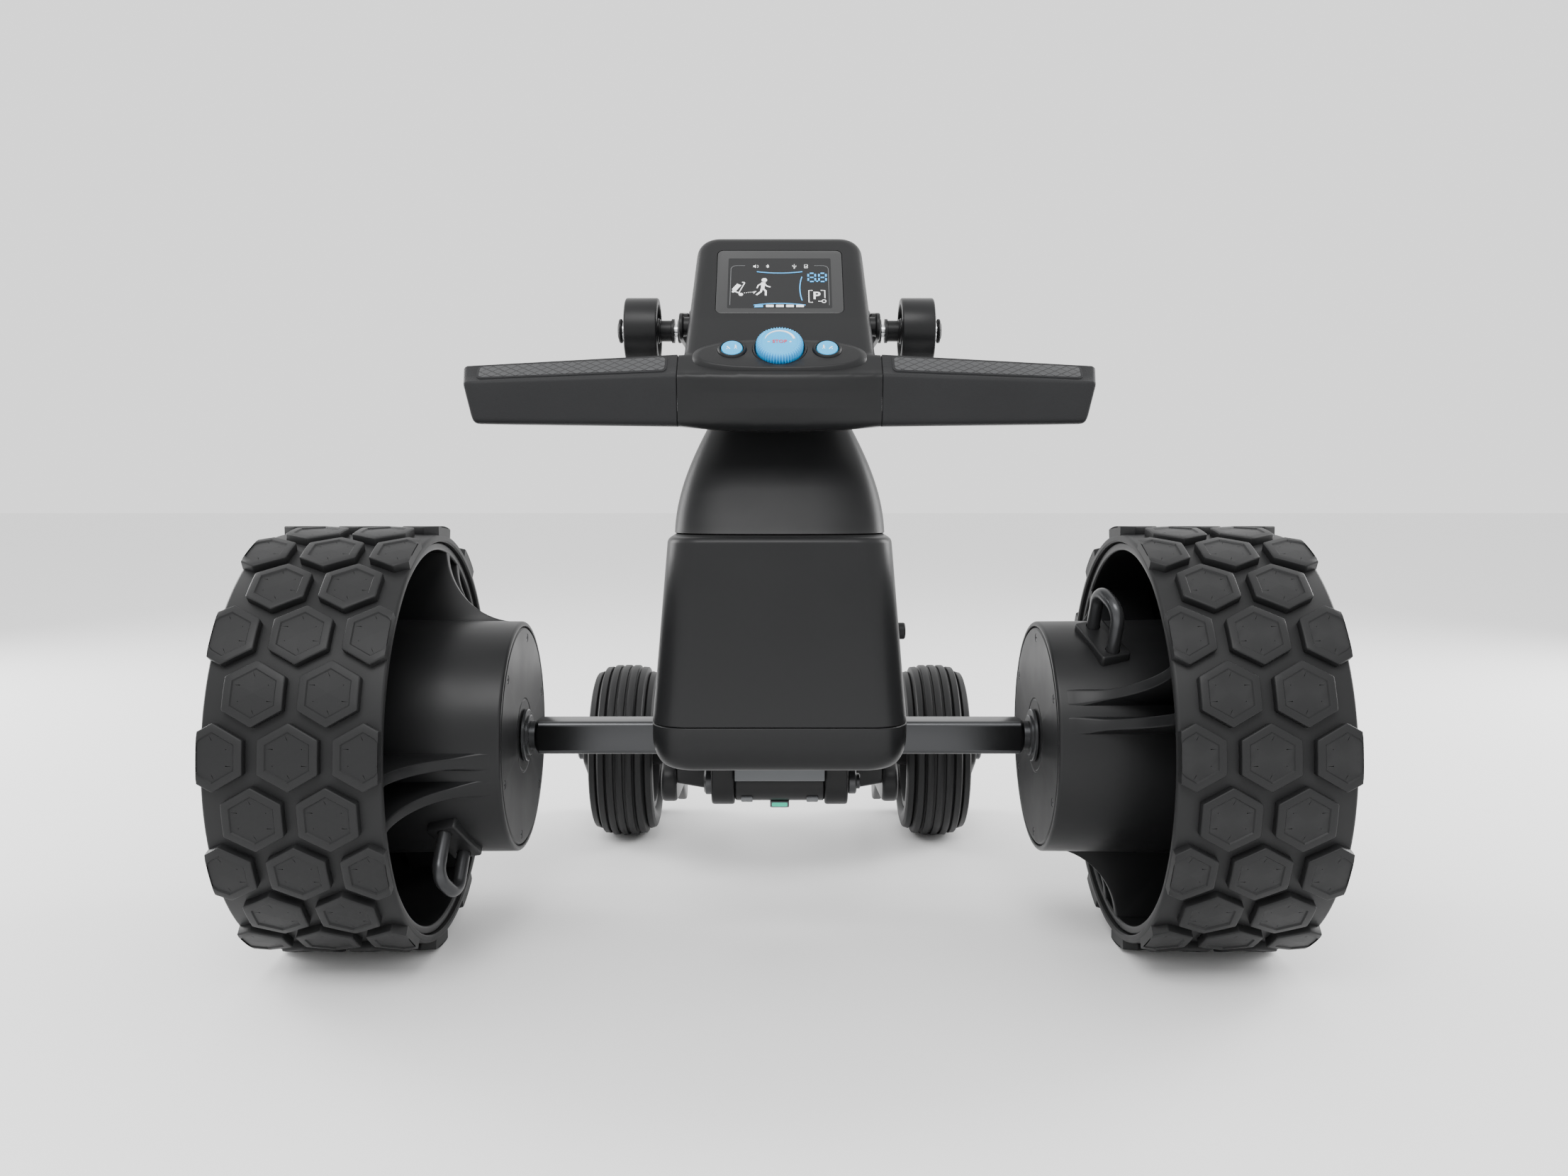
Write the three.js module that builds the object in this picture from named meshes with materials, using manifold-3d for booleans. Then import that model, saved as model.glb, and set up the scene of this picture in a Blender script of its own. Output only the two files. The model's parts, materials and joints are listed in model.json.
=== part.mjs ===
// Electric golf trolley, folded and standing on its two drive wheels and two front wheels.
// Millimetres. X is to the right of a user standing behind it, Y is forwards and Z is up.
// The origin is on the ground below the middle of the overall box. Inside the group,
// Y is measured from the drive axle and the whole group is then moved back by ORIGIN_Y.
import * as THREE from 'three';
import { mergeVertices } from 'three/addons/utils/BufferGeometryUtils.js';
import Module from 'manifold-3d';

const wasm = await Module();
wasm.setup();

// ---- Driving dimensions ---------------------------------------------------------------
const GAP = 0.3;                  // clearance between pieces that touch
const ORIGIN_Y = 107.96;          // from the drive axle to the middle of the overall box

const WHEEL_R = 156;              // drive wheel over its tread blocks
const CARCASS_R = 150;            // drive tyre between the blocks
const TYRE_WALL = 5.6;
const TYRE_IN = 251;              // distance of the tyre's inner side from the middle
const TYRE_OUT = 365.5;
const ROWS = 24;                  // rows of tread blocks round the tyre
const BLOCK_FLAT = 38.4;          // tread block across its flats
const BLOCK_PITCH = 47.4;         // distance between blocks in a row
const DRUM_R = 85;                // motor drum of the drive wheel
const DRUM_IN = 190.5;            // inboard face of the drum
const FIN_PAIRS = 3;
const FIN_SPLAY = 6.6;            // degrees of each fin from the middle of its pair
const LOOP_LEAD = 39;             // degrees from a fin pair to the pull loop
const RIGHT_PAIR = 22.9;          // degrees of a fin pair above the rearward horizontal
const LEFT_PAIR = -7.2;
const FIRST_ROW = 6.7;            // degrees of a tread row above the rearward horizontal

const SHAFT_R = 10;
const BEAM_HALF = 12.2;           // half the side of the square axle beam
const BEAM_END = 178;

const BOX_REAR = -62;             // rear face of the battery box
const BOX_FRONT = 66;
const BOX_BOTTOM = 141;
const BOX_SEAM = 174;
const BOX_TOP = 307;
const BOX_HALF_LOW = 91;          // half width at and below the seam
const BOX_HALF_TOP = 79;
const BOX_CORNER = 22;
const WALL = 3;

const FRONT_WHEEL_R = 82;
const FRONT_WHEEL_X = 147;
const FRONT_WHEEL_Y = 283;
const FRONT_TYRE_HALF = 30;
const PIVOT_Y = 44;               // fold pivot of the front frame
const PIVOT_Z = 110;
const CROWN_Y = 360;              // crown of the front forks, ahead of the tyre
const CROWN_Z = 24;

const ROLLER_Y = 80;              // roller axle, which the handle also folds about
const ROLLER_Z = 462;
const ROLLER_R = 25.5;
const AXLE_R = 5.3;

const DECK_Y = -23;               // centre of the dial on the console face
const DECK_Z = 437;
const FACE_TILT = 46;             // degrees of the console face from level
const FACE_TOP = 130.5;           // up the face from the dial to its top edge
const FACE_LOW = -28;             // down the face to the front ridge
const GRIP_IN = 71.9;
const GRIP_OUT = 225;
const TUBE_R = 11;
const TUBE_Y = -25;
const TUBE_Z = 400;

const rad = THREE.MathUtils.degToRad;

// ---- Solids ---------------------------------------------------------------------------
function clean(geometry) {
  const bare = geometry.clone();
  for (const name of Object.keys(bare.attributes)) {
    if (name !== 'position') bare.deleteAttribute(name);
  }
  const merged = mergeVertices(bare, 1e-4);
  const source = merged.index.array;
  const kept = [];
  for (let i = 0; i < source.length; i += 3) {
    const [a, b, c] = [source[i], source[i + 1], source[i + 2]];
    if (a !== b && b !== c && c !== a) kept.push(a, b, c);
  }
  const p = merged.attributes.position;
  const corner = (i) => new THREE.Vector3().fromBufferAttribute(p, kept[i]);
  let volume = 0;
  for (let i = 0; i < kept.length; i += 3) {
    volume += corner(i).dot(corner(i + 1).cross(corner(i + 2)));
  }
  if (volume < 0) kept.reverse();
  merged.setIndex(kept);
  return merged;
}

function toSolid(geometry) {
  const g = clean(geometry);
  const vertProperties = new Float32Array(g.attributes.position.array);
  const triVerts = new Uint32Array(g.index.array);
  return new wasm.Manifold(new wasm.Mesh({ numProp: 3, vertProperties, triVerts }));
}

function toGeometry(solid) {
  const mesh = solid.getMesh();
  const g = new THREE.BufferGeometry();
  const position = new THREE.BufferAttribute(new Float32Array(mesh.vertProperties), 3);
  g.setAttribute('position', position);
  g.setIndex(Array.from(mesh.triVerts));
  return g;
}

const join = (...parts) => toGeometry(parts.map(toSolid).reduce((a, b) => a.add(b)));
const cut = (body, ...tools) => toGeometry(
  tools.map(toSolid).reduce((a, b) => a.subtract(b), toSolid(body)));

const AXES_X = new THREE.Matrix4().set(0, 0, 1, 0, 1, 0, 0, 0, 0, 1, 0, 0, 0, 0, 0, 1);
const LATHE_X = new THREE.Matrix4().set(0, 1, 0, 0, 0, 0, 1, 0, 1, 0, 0, 0, 0, 0, 0, 1);

const box = (x, y, z) => new THREE.BoxGeometry(x[1] - x[0], y[1] - y[0], z[1] - z[0])
  .translate((x[0] + x[1]) / 2, (y[0] + y[1]) / 2, (z[0] + z[1]) / 2);

function outline(points) {
  return new THREE.Shape(points.map(([a, b]) => new THREE.Vector2(a, b)));
}

// A (y, z) outline carried along X from x0 to x1.
function alongX(shape, x0, x1, steps = 1, curveSegments = 4) {
  const settings = { depth: x1 - x0, bevelEnabled: false, steps, curveSegments };
  return new THREE.ExtrudeGeometry(shape, settings).applyMatrix4(AXES_X).translate(x0, 0, 0);
}

// An (x, y) outline carried up Z from z0 to z1.
function alongZ(shape, z0, z1, steps = 1, curveSegments = 3) {
  const settings = { depth: z1 - z0, bevelEnabled: false, steps, curveSegments };
  return new THREE.ExtrudeGeometry(shape, settings).translate(0, 0, z0);
}

// A closed (radius, x) profile turned about the X axis.
function turnedX(profile, segments = 20) {
  const points = profile.map(([r, x]) => new THREE.Vector2(r, x));
  return new THREE.LatheGeometry(points, segments).applyMatrix4(LATHE_X);
}

// The corner radius of a bore whose flat sides lie at the given radius.
const bore = (radius, segments) => radius / Math.cos(Math.PI / segments);

function ringX(inner, outer, x0, x1, segments = 20) {
  const hole = bore(inner, segments);
  return turnedX([[hole, x0], [outer, x0], [outer, x1], [hole, x1], [hole, x0]], segments);
}

function rodX(radius, x0, x1, segments = 16) {
  return turnedX([[0, x0], [radius, x0], [radius, x1], [0, x1]], segments);
}

// A cutter for a round hole along X.
const holeX = (radius, x0, x1, segments = 12) => rodX(bore(radius, segments), x0, x1, segments);

// The same for pieces that stand on the console face, with their axis along Z.
function turnedZ(profile, segments = 18) {
  const points = profile.map(([r, z]) => new THREE.Vector2(r, z));
  return new THREE.LatheGeometry(points, segments).rotateX(Math.PI / 2);
}

function roundedRect(x0, x1, y0, y1, r) {
  const s = new THREE.Shape();
  s.moveTo(x0 + r, y0);
  s.lineTo(x1 - r, y0);
  s.absarc(x1 - r, y0 + r, r, -Math.PI / 2, 0);
  s.lineTo(x1, y1 - r);
  s.absarc(x1 - r, y1 - r, r, 0, Math.PI / 2);
  s.lineTo(x0 + r, y1);
  s.absarc(x0 + r, y1 - r, r, Math.PI / 2, Math.PI);
  s.lineTo(x0, y0 + r);
  s.absarc(x0 + r, y0 + r, r, Math.PI, 1.5 * Math.PI);
  return s;
}

// A plate between two round ends, given by their (y, z) centres and radii.
function link(a, ra, b, rb) {
  const along = Math.atan2(b[1] - a[1], b[0] - a[0]);
  const lean = Math.acos((ra - rb) / Math.hypot(b[0] - a[0], b[1] - a[1]));
  const s = new THREE.Shape();
  s.absarc(a[0], a[1], ra, along + lean, along + 2 * Math.PI - lean);
  s.absarc(b[0], b[1], rb, along - lean, along + lean);
  return s;
}

function reshape(geometry, move) {
  const p = geometry.attributes.position;
  const v = new THREE.Vector3();
  for (let i = 0; i < p.count; i += 1) {
    move(v.fromBufferAttribute(p, i));
    p.setXYZ(i, v.x, v.y, v.z);
  }
  return geometry;
}

// Half a turn about the fore and aft axis makes the left copy of a right-hand piece.
const turnedOver = (geometry) => geometry.clone().rotateY(Math.PI);
const mirrored = (geometry) => clean(geometry.clone().scale(-1, 1, 1));

// ---- Materials and nodes --------------------------------------------------------------
const look = (color, roughness, metalness = 0) => ({ color, roughness, metalness });
const BLACK_PLASTIC = look(0x1c1d20, 0.55);
const DARK_PLASTIC = look(0x2a2b2e, 0.5);
const RUBBER = look(0x202124, 0.8);
const SATIN_METAL = look(0x3a3b3d, 0.4, 0.8);
const STEEL = look(0xb9bbbd, 0.25, 1);
const GREY_PLATE = look(0x55575a, 0.5);
const GLASS = look(0x0a0b0e, 0.1);
const BLUE = look(0x6fa9cf, 0.4);
const BOARD = look(0x1f5a37, 0.6);
const COPPER = look(0x9a5b32, 0.4, 0.8);

const trolley = new THREE.Group();
trolley.position.y = -ORIGIN_Y;

function add(name, geometry, material, parent = trolley) {
  const mesh = new THREE.Mesh(clean(geometry), new THREE.MeshStandardMaterial(material));
  mesh.name = name;
  parent.add(mesh);
  return mesh;
}

// ---- Drive wheels ---------------------------------------------------------------------
const TYRE_MIDDLE = (TYRE_IN + TYRE_OUT) / 2;
const TYRE_HALF = (TYRE_OUT - TYRE_IN) / 2;

// One tread block: arc length round the tyre, distance across it, clipped at its edges.
function blockOutline(across) {
  const flat = BLOCK_FLAT / 2;
  const point = flat / Math.cos(Math.PI / 6);
  const side = Math.sign(across);
  const edge = TYRE_HALF;
  if (Math.abs(across) + flat <= edge) {
    const hex = [[0, point], [-flat, point / 2], [-flat, -point / 2]];
    const rest = hex.map(([a, b]) => [-a, -b]);
    return outline([...hex, ...rest].map(([a, b]) => [b, a + across]));
  }
  const over = (edge - Math.abs(across)) / flat;
  const at = point * (1 - over / 2);
  const near = across - side * flat;
  return outline([[-point, across], [-point / 2, near], [point / 2, near],
    [point, across], [at, side * edge], [-at, side * edge]]);
}

function treadBlock(angle, across) {
  const depth = { depth: WHEEL_R - CARCASS_R + 3, bevelEnabled: false };
  const block = new THREE.ExtrudeGeometry(blockOutline(across), depth);
  return reshape(block, (v) => {
    const turn = angle + v.x / WHEEL_R;
    const r = CARCASS_R - 3 + v.z;
    v.set(TYRE_MIDDLE + v.y, -r * Math.cos(turn), r * Math.sin(turn));
  });
}

function driveTyre() {
  const blocks = [];
  for (let row = 0; row < ROWS; row += 1) {
    const angle = rad(FIRST_ROW + row * 360 / ROWS);
    const places = row % 2 ? [-0.5, 0.5] : [0];
    for (const place of places) blocks.push(treadBlock(angle, place * BLOCK_PITCH));
  }
  const band = ringX(CARCASS_R - TYRE_WALL, CARCASS_R, TYRE_IN, TYRE_OUT, ROWS);
  return join(band, ...blocks);
}

const RIM_R = CARCASS_R - TYRE_WALL - GAP;
const BARREL_IN = TYRE_IN + 3;
const WEB = [335, 345];
const PAD_X = 229;
const PAD_TOP = DRUM_R + 4.5;
const LOOP_ROD = 4.7;
const LOOP_HALF = 15;             // half the distance between the loop's legs
const LOOP_SKEW = 15;

function fin(angle) {
  const s = new THREE.Shape();
  s.moveTo(DRUM_IN + 6.5, DRUM_R - 1);
  s.lineTo(DRUM_IN + 6.5, DRUM_R);
  s.absellipse(DRUM_IN + 6.5, RIM_R - 1, BARREL_IN + 0.5 - DRUM_IN - 6.5, RIM_R - 1 - DRUM_R,
    1.5 * Math.PI, 2 * Math.PI);
  s.lineTo(300, RIM_R - 1);
  s.lineTo(300, DRUM_R - 1);
  const plate = alongZ(s, -3.8, 3.8, 1, 4);
  return plate.applyMatrix4(new THREE.Matrix4().set(1, 0, 0, 0, 0, 0, 1, 0, 0, 1, 0, 0, 0, 0, 0, 1))
    .rotateX(rad(90 - angle));
}

// Turns a piece built standing above the axle to its angle above the rearward horizontal.
const atAngle = (geometry, degrees) => geometry.rotateX(rad(90 - degrees));

function loopPad() {
  const pad = box([-11, 11], [-22, 22], [DRUM_R - 3, PAD_TOP]);
  return pad.rotateZ(rad(LOOP_SKEW)).translate(PAD_X, 0, 0);
}

function loopLegs(radius, low, high) {
  const leg = () => new THREE.CylinderGeometry(radius, radius, high - low, 10)
    .rotateX(Math.PI / 2).translate(0, 0, (low + high) / 2);
  return [-1, 1].map((side) => leg().translate(0, side * LOOP_HALF, 0)
    .rotateZ(rad(LOOP_SKEW)).translate(PAD_X, 0, 0));
}

function pullLoop() {
  const top = PAD_TOP + 37 - LOOP_ROD;
  const bend = 11;
  const low = DRUM_R - 6;
  const path = new THREE.CurvePath();
  const at = (y, z) => new THREE.Vector3(0, y, z);
  path.add(new THREE.LineCurve3(at(-LOOP_HALF, low), at(-LOOP_HALF, top - bend)));
  path.add(new THREE.QuadraticBezierCurve3(at(-LOOP_HALF, top - bend), at(-LOOP_HALF, top),
    at(-LOOP_HALF + bend, top)));
  path.add(new THREE.LineCurve3(at(-LOOP_HALF + bend, top), at(LOOP_HALF - bend, top)));
  path.add(new THREE.QuadraticBezierCurve3(at(LOOP_HALF - bend, top), at(LOOP_HALF, top),
    at(LOOP_HALF, top - bend)));
  path.add(new THREE.LineCurve3(at(LOOP_HALF, top - bend), at(LOOP_HALF, low)));
  const section = new THREE.Shape();
  section.absarc(0, 0, LOOP_ROD, 0, 2 * Math.PI);
  const settings = { extrudePath: path, steps: 16, curveSegments: 4, bevelEnabled: false };
  return new THREE.ExtrudeGeometry(section, settings)
    .rotateZ(rad(LOOP_SKEW)).translate(PAD_X, 0, 0);
}

function driveRim() {
  const [seat, room, lip, shaft] = [81, 76, RIM_R - 6, 20].map((r) => bore(r, 20));
  const body = turnedX([[seat, DRUM_IN], [DRUM_R, DRUM_IN], [DRUM_R, WEB[0] - 2],
    [lip, WEB[0] - 2], [lip, BARREL_IN], [RIM_R, BARREL_IN],
    [RIM_R, TYRE_OUT - 3], [lip, TYRE_OUT - 3], [lip, WEB[1]], [shaft, WEB[1]],
    [shaft, WEB[0]], [room, WEB[0]], [room, DRUM_IN + 5.5], [seat, DRUM_IN + 5.5],
    [seat, DRUM_IN]], 20);
  const fins = [];
  for (let pair = 0; pair < FIN_PAIRS; pair += 1) {
    const middle = pair * 360 / FIN_PAIRS;
    fins.push(fin(middle - FIN_SPLAY), fin(middle + FIN_SPLAY));
  }
  const solid = join(body, ...fins, atAngle(loopPad(), LOOP_LEAD));
  const holes = loopLegs(LOOP_ROD + GAP, 70, PAD_TOP + 1).map((hole) => atAngle(hole, LOOP_LEAD));
  return cut(solid, ...holes);
}

function addDriveWheel(side, turn) {
  const wheel = new THREE.Group();
  wheel.position.z = WHEEL_R;
  trolley.add(wheel);
  const right = side === 'right';
  const hand = (geometry) => (right ? geometry : turnedOver(geometry));
  const pair = right ? turn : -turn;
  const place = (geometry) => hand(geometry.clone().rotateX(-rad(pair)));
  add(`drive_tyre_${side}`, right ? driveTyre() : mirrored(driveTyre()), RUBBER, wheel);
  add(`drive_rim_${side}`, place(driveRim()), BLACK_PLASTIC, wheel);
  add(`pull_loop_${side}`, place(atAngle(pullLoop(), LOOP_LEAD)), SATIN_METAL, wheel);
  const cover = ringX(SHAFT_R + 0.6, 80.6, DRUM_IN + 0.2, DRUM_IN + 5.2, 24);
  add(`hub_cover_${side}`, hand(cover), DARK_PLASTIC, wheel);
  add(`stator_${side}`, hand(ringX(SHAFT_R + GAP, 52, 238, 274, 16)), COPPER, wheel);
  add(`wheel_bearing_${side}`, hand(ringX(SHAFT_R + GAP, 19.7, WEB[0], WEB[1], 14)), STEEL, wheel);
  const cap = turnedX([[0, WEB[1] + GAP], [44, WEB[1] + GAP], [44, 349], [38, 352], [0, 353]], 18);
  add(`wheel_cap_${side}`, hand(cap), DARK_PLASTIC, wheel);
  const inner = bore(SHAFT_R + GAP, 16);
  const collar = turnedX([[inner, 185.6], [15, 185.6], [15, 187.2], [19.4, 187.2],
    [19.4, 190], [inner, 190], [inner, 185.6]], 16);
  add(`axle_collar_${side}`, hand(collar), SATIN_METAL, wheel);
}

// ---- Axle beam ------------------------------------------------------------------------
function addAxleBeam() {
  const half = BEAM_HALF;
  const bar = alongX(roundedRect(-half, half, -half, half, 4), -BEAM_END, BEAM_END, 1, 3);
  const ends = [-1, 1].map((side) => {
    const end = turnedX([[0, BEAM_END - 2], [half - 0.5, BEAM_END - 2], [half - 0.5, 181],
      [SHAFT_R + 1, 183], [SHAFT_R + 1, 185.2], [SHAFT_R, 185.2], [SHAFT_R, 344], [0, 344]], 16);
    return side < 0 ? turnedOver(end) : end;
  });
  add('axle_beam', join(bar, ...ends).translate(0, 0, WHEEL_R), SATIN_METAL);
}

// ---- Battery box ----------------------------------------------------------------------
function boxHalf(z) {
  const up = Math.max(0, (z - BOX_SEAM) / (BOX_TOP - BOX_SEAM));
  return BOX_HALF_LOW + (BOX_HALF_TOP - BOX_HALF_LOW) * up;
}

function boxSolid(inset, z0, z1, steps) {
  const half = BOX_HALF_LOW - inset;
  const plan = roundedRect(-half, half, BOX_REAR + inset, BOX_FRONT - inset, BOX_CORNER - inset);
  return reshape(alongZ(plan, z0, z1, steps), (v) => {
    v.x *= (boxHalf(v.z) - inset) / half;
  });
}

function addBatteryBox() {
  const beamGap = box([-120, 120], [-BEAM_HALF - 0.4, BEAM_HALF + 0.4],
    [WHEEL_R - BEAM_HALF - 0.4, WHEEL_R + BEAM_HALF + 0.4]);
  const foot = reshape(boxSolid(0, BOX_BOTTOM, BOX_SEAM - GAP, 3), (v) => {
    const drop = Math.max(0, 1 - (v.z - BOX_BOTTOM) / 16.2);
    v.x -= Math.sign(v.x) * 9 * drop * drop;
    v.y -= Math.sign(v.y) * 9 * drop * drop;
  });
  const trayRoom = box([-80, 80], [BOX_REAR + 12, BOX_FRONT - 12], [BOX_BOTTOM + 2.4, 200]);
  add('base_tray', cut(foot, trayRoom, beamGap), BLACK_PLASTIC);
  const shell = boxSolid(0, BOX_SEAM, BOX_TOP, 1);
  const room = boxSolid(WALL, BOX_SEAM - 1, BOX_TOP - WALL, 1);
  const buttonHole = holeX(6.6, 76, 96).translate(0, -20, 237);
  add('rear_cover', cut(shell, room, buttonHole), BLACK_PLASTIC);
  add('battery_pack', alongZ(roundedRect(-68, 68, -46, 28, 6), 178, 292), DARK_PLASTIC);
  add('controller_board', box([-60, 60], [40, 42], [184, 280]), BOARD);
  const button = turnedX([[0, 77], [8.4, 77], [8.4, 78.6], [6.2, 78.6], [6.2, 90], [5, 91],
    [0, 91]], 12);
  add('power_button', button.translate(0, -20, 237), DARK_PLASTIC);
}

// ---- Neck -----------------------------------------------------------------------------
const NECK_LOW = BOX_TOP + GAP;
const NECK_HIGH = 438;
const neckHalf = (z) => {
  const down = (NECK_HIGH - z) / (NECK_HIGH - NECK_LOW);
  return 30 + 47 * Math.sin(down * Math.PI / 2) ** 1.25;
};
const neckMiddle = (z) => 2 + (z - NECK_LOW) * (ROLLER_Y - 2) / (ROLLER_Z - NECK_LOW);
const neckDepth = (z) => 33 - 15 * (z - NECK_LOW) / (NECK_HIGH - NECK_LOW);

function neckSolid(inset, z0, z1) {
  return reshape(alongZ(roundedRect(-1, 1, -1, 1, 0.6), z0, z1, 6, 2), (v) => {
    v.x *= neckHalf(v.z) - inset;
    v.y = v.y * (neckDepth(v.z) - inset) + neckMiddle(v.z);
  });
}

function addNeck() {
  const through = reshape(neckSolid(WALL, NECK_LOW, NECK_HIGH), (v) => {
    if (v.z > NECK_HIGH - 0.01) v.z += 1;
    if (v.z < NECK_LOW + 0.01) v.z -= 1;
  });
  add('neck_shell', cut(neckSolid(0, NECK_LOW, NECK_HIGH), through), BLACK_PLASTIC);
  const barrel = rodX(16, -70.8, 70.8, 20).translate(0, ROLLER_Y, ROLLER_Z);
  const stem = reshape(alongZ(roundedRect(-25, 25, -11, 11, 4), NECK_HIGH - 15, ROLLER_Z - 4),
    (v) => { v.y += neckMiddle(v.z); });
  const hole = holeX(AXLE_R + GAP, -90, 90).translate(0, ROLLER_Y, ROLLER_Z);
  add('neck_head', cut(join(barrel, stem), hole), SATIN_METAL);
}

// ---- Roller axle behind the console ---------------------------------------------------
const ROLLER_X = [94.6, 120.4];

function roller() {
  const [x0, x1] = ROLLER_X;
  const rim = ringX(ROLLER_R - 5, ROLLER_R, x0, x1, 20);
  const hub = ringX(AXLE_R + GAP, 10, x0, x1, 12);
  const spokes = [];
  for (let i = 0; i < 5; i += 1) {
    const spoke = box([x0 + 3, x1 - 3], [-2, 2], [9, ROLLER_R - 4]);
    spokes.push(spoke.rotateX(rad(i * 72)));
  }
  return join(rim, hub, ...spokes);
}

function addRollers() {
  const group = new THREE.Group();
  group.position.set(0, ROLLER_Y, ROLLER_Z);
  trolley.add(group);
  const cap = [[9.5, 124], [9.5, 125.8], [8, 126.8], [0, 126.8]];
  const half = [[AXLE_R, 120.9], [6.5, 120.9], [6.5, 123.4], [9.5, 124]];
  const right = [...half, ...cap.slice(1)];
  const left = right.map(([r, x]) => [r, -x]).reverse();
  add('roller_axle', turnedX([...left, ...right], 12), STEEL, group);
  for (const side of ['left', 'right']) {
    const hand = (g) => (side === 'right' ? g : turnedOver(g));
    add(`roller_${side}`, hand(roller()), BLACK_PLASTIC, group);
    add(`axle_sleeve_${side}`, hand(ringX(AXLE_R + GAP, 8.2, 82.5, ROLLER_X[0] - GAP, 12)),
      BLACK_PLASTIC, group);
  }
}

// ---- Front frame ----------------------------------------------------------------------
const HANGER_X = [35, 53];
const ARM_X = [84, 97];
const BEAM_Y = 96;

function crossMember() {
  const barrel = rodX(15, -HANGER_X[0] + GAP, HANGER_X[0] - GAP, 20)
    .translate(0, PIVOT_Y, PIVOT_Z);
  const tongue = box([-30, 30], [PIVOT_Y, BEAM_Y], [PIVOT_Z - 14, PIVOT_Z + 6]);
  const reach = ARM_X[0] - GAP;
  const bend = new THREE.QuadraticBezierCurve3(new THREE.Vector3(-reach - 3, BEAM_Y, 106),
    new THREE.Vector3(0, BEAM_Y, 88), new THREE.Vector3(reach + 3, BEAM_Y, 106));
  const settings = { extrudePath: bend, steps: 8, bevelEnabled: false };
  const section = outline([[-9, -10], [9, -10], [9, 10], [-9, 10]]);
  const beam = new THREE.ExtrudeGeometry(section, settings);
  const ends = [-1, 1].map((side) => box([reach, reach + 20], [80, 112], [60, 140])
    .scale(side, 1, 1));
  const hole = holeX(6.3, -60, 60).translate(0, PIVOT_Y, PIVOT_Z);
  return cut(join(barrel, tongue, beam), hole, ...ends);
}

function fork() {
  const axle = [FRONT_WHEEL_Y, FRONT_WHEEL_R];
  const crown = [CROWN_Y, CROWN_Z];
  const leg = (x0, x1) => alongX(link(axle, 17, crown, 12), x0, x1);
  const arm = alongX(link(axle, 17, [BEAM_Y + 2, 97], 17), ...ARM_X);
  const inner = leg(ARM_X[1] - 1, 106);
  const outer = leg(181, 190);
  const bar = rodX(9, ARM_X[1] - 1, 190, 12).translate(0, ...crown);
  const hole = holeX(6.3, 60, 200).translate(0, ...axle);
  return cut(join(arm, inner, outer, bar), hole);
}

function frontTyre() {
  const [inner, outer, half] = [bore(57, 22), FRONT_WHEEL_R, FRONT_TYRE_HALF];
  const profile = [[inner, -half + 4], [66, -half], [74, -half + 1], [outer - 2.6, -half + 9]];
  const crown = [[outer - 0.6, -9], [outer, 0]];
  const left = [...profile, ...crown];
  const right = left.slice(0, -1).map(([r, x]) => [r, -x]).reverse();
  return turnedX([...left, ...right, left[0]], 22);
}

function frontRim() {
  const half = FRONT_TYRE_HALF - 4;
  const rim = ringX(50, 57 - GAP, -half, half, 20);
  const hub = ringX(6.6, 15, 108 - FRONT_WHEEL_X, FRONT_WHEEL_X - 116, 12);
  const web = ringX(14, 51, -4, 4, 12);
  return join(rim, hub, web);
}

function addFrontFrame() {
  add('cross_member', crossMember(), BLACK_PLASTIC);
  for (const side of ['left', 'right']) {
    const hand = (g) => (side === 'right' ? g : mirrored(g));
    const axleAt = (g) => g.translate(0, FRONT_WHEEL_Y, FRONT_WHEEL_R);
    const wheelAt = (g) => axleAt(g).translate(FRONT_WHEEL_X, 0, 0);
    add(`front_fork_${side}`, hand(fork()), BLACK_PLASTIC);
    const bolt = turnedX([[0, 82], [6, 82], [6, 190.3], [10, 190.3], [10, 194], [8, 195.5],
      [0, 195.5]], 12);
    add(`front_axle_${side}`, hand(axleAt(bolt)), SATIN_METAL);
    add(`front_tyre_${side}`, hand(wheelAt(frontTyre())), RUBBER);
    add(`front_rim_${side}`, hand(wheelAt(frontRim())), DARK_PLASTIC);
  }
}

function addHangers() {
  const drop = BOX_BOTTOM - GAP;
  for (const side of ['left', 'right']) {
    const plate = new THREE.Shape();
    plate.moveTo(PIVOT_Y + 18, drop);
    plate.lineTo(PIVOT_Y - 18, drop);
    plate.absarc(PIVOT_Y, PIVOT_Z, 18, Math.PI, 2 * Math.PI);
    const hole = holeX(6.3, 20, 60).translate(0, PIVOT_Y, PIVOT_Z);
    const hanger = cut(alongX(plate, ...HANGER_X), hole);
    add(`hanger_${side}`, side === 'right' ? hanger : mirrored(hanger), DARK_PLASTIC);
  }
  const bolt = turnedX([[0, -59], [9, -59], [10.5, -57.5], [10.5, -53.4], [6, -53.4],
    [6, 53.4], [10, 53.4], [10, 60], [6, 60], [6, 63], [0, 63]], 12);
  add('hinge_bolt', bolt.translate(0, PIVOT_Y, PIVOT_Z), STEEL);
  add('cross_plate', box([-34.6, 34.6], [22, 26], [115, drop]), GREY_PLATE);
  add('under_sensor', box([-7.5, 7.5], [PIVOT_Y - 5, PIVOT_Y + 5],
    [PIVOT_Z - 20, PIVOT_Z - 15.2]), GREY_PLATE);
}

// ---- Console and handle ---------------------------------------------------------------
const PLATE = 6;                  // thickness of the console's top plate
const faceHalf = (up) => {
  if (up > 0) return 68.6 - 5.2 * up / FACE_TOP;
  return 68.6 + 3 * up / FACE_LOW;
};

const console3d = new THREE.Group();
console3d.position.set(0, DECK_Y, DECK_Z);
console3d.rotation.x = rad(FACE_TILT);
trolley.add(console3d);

// Turns a point of the console face into (y, z) from the drive axle and the ground.
function faceToWorld(up, out) {
  const [c, s] = [Math.cos(rad(FACE_TILT)), Math.sin(rad(FACE_TILT))];
  return [DECK_Y + up * c - out * s, DECK_Z + up * s + out * c];
}

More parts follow.
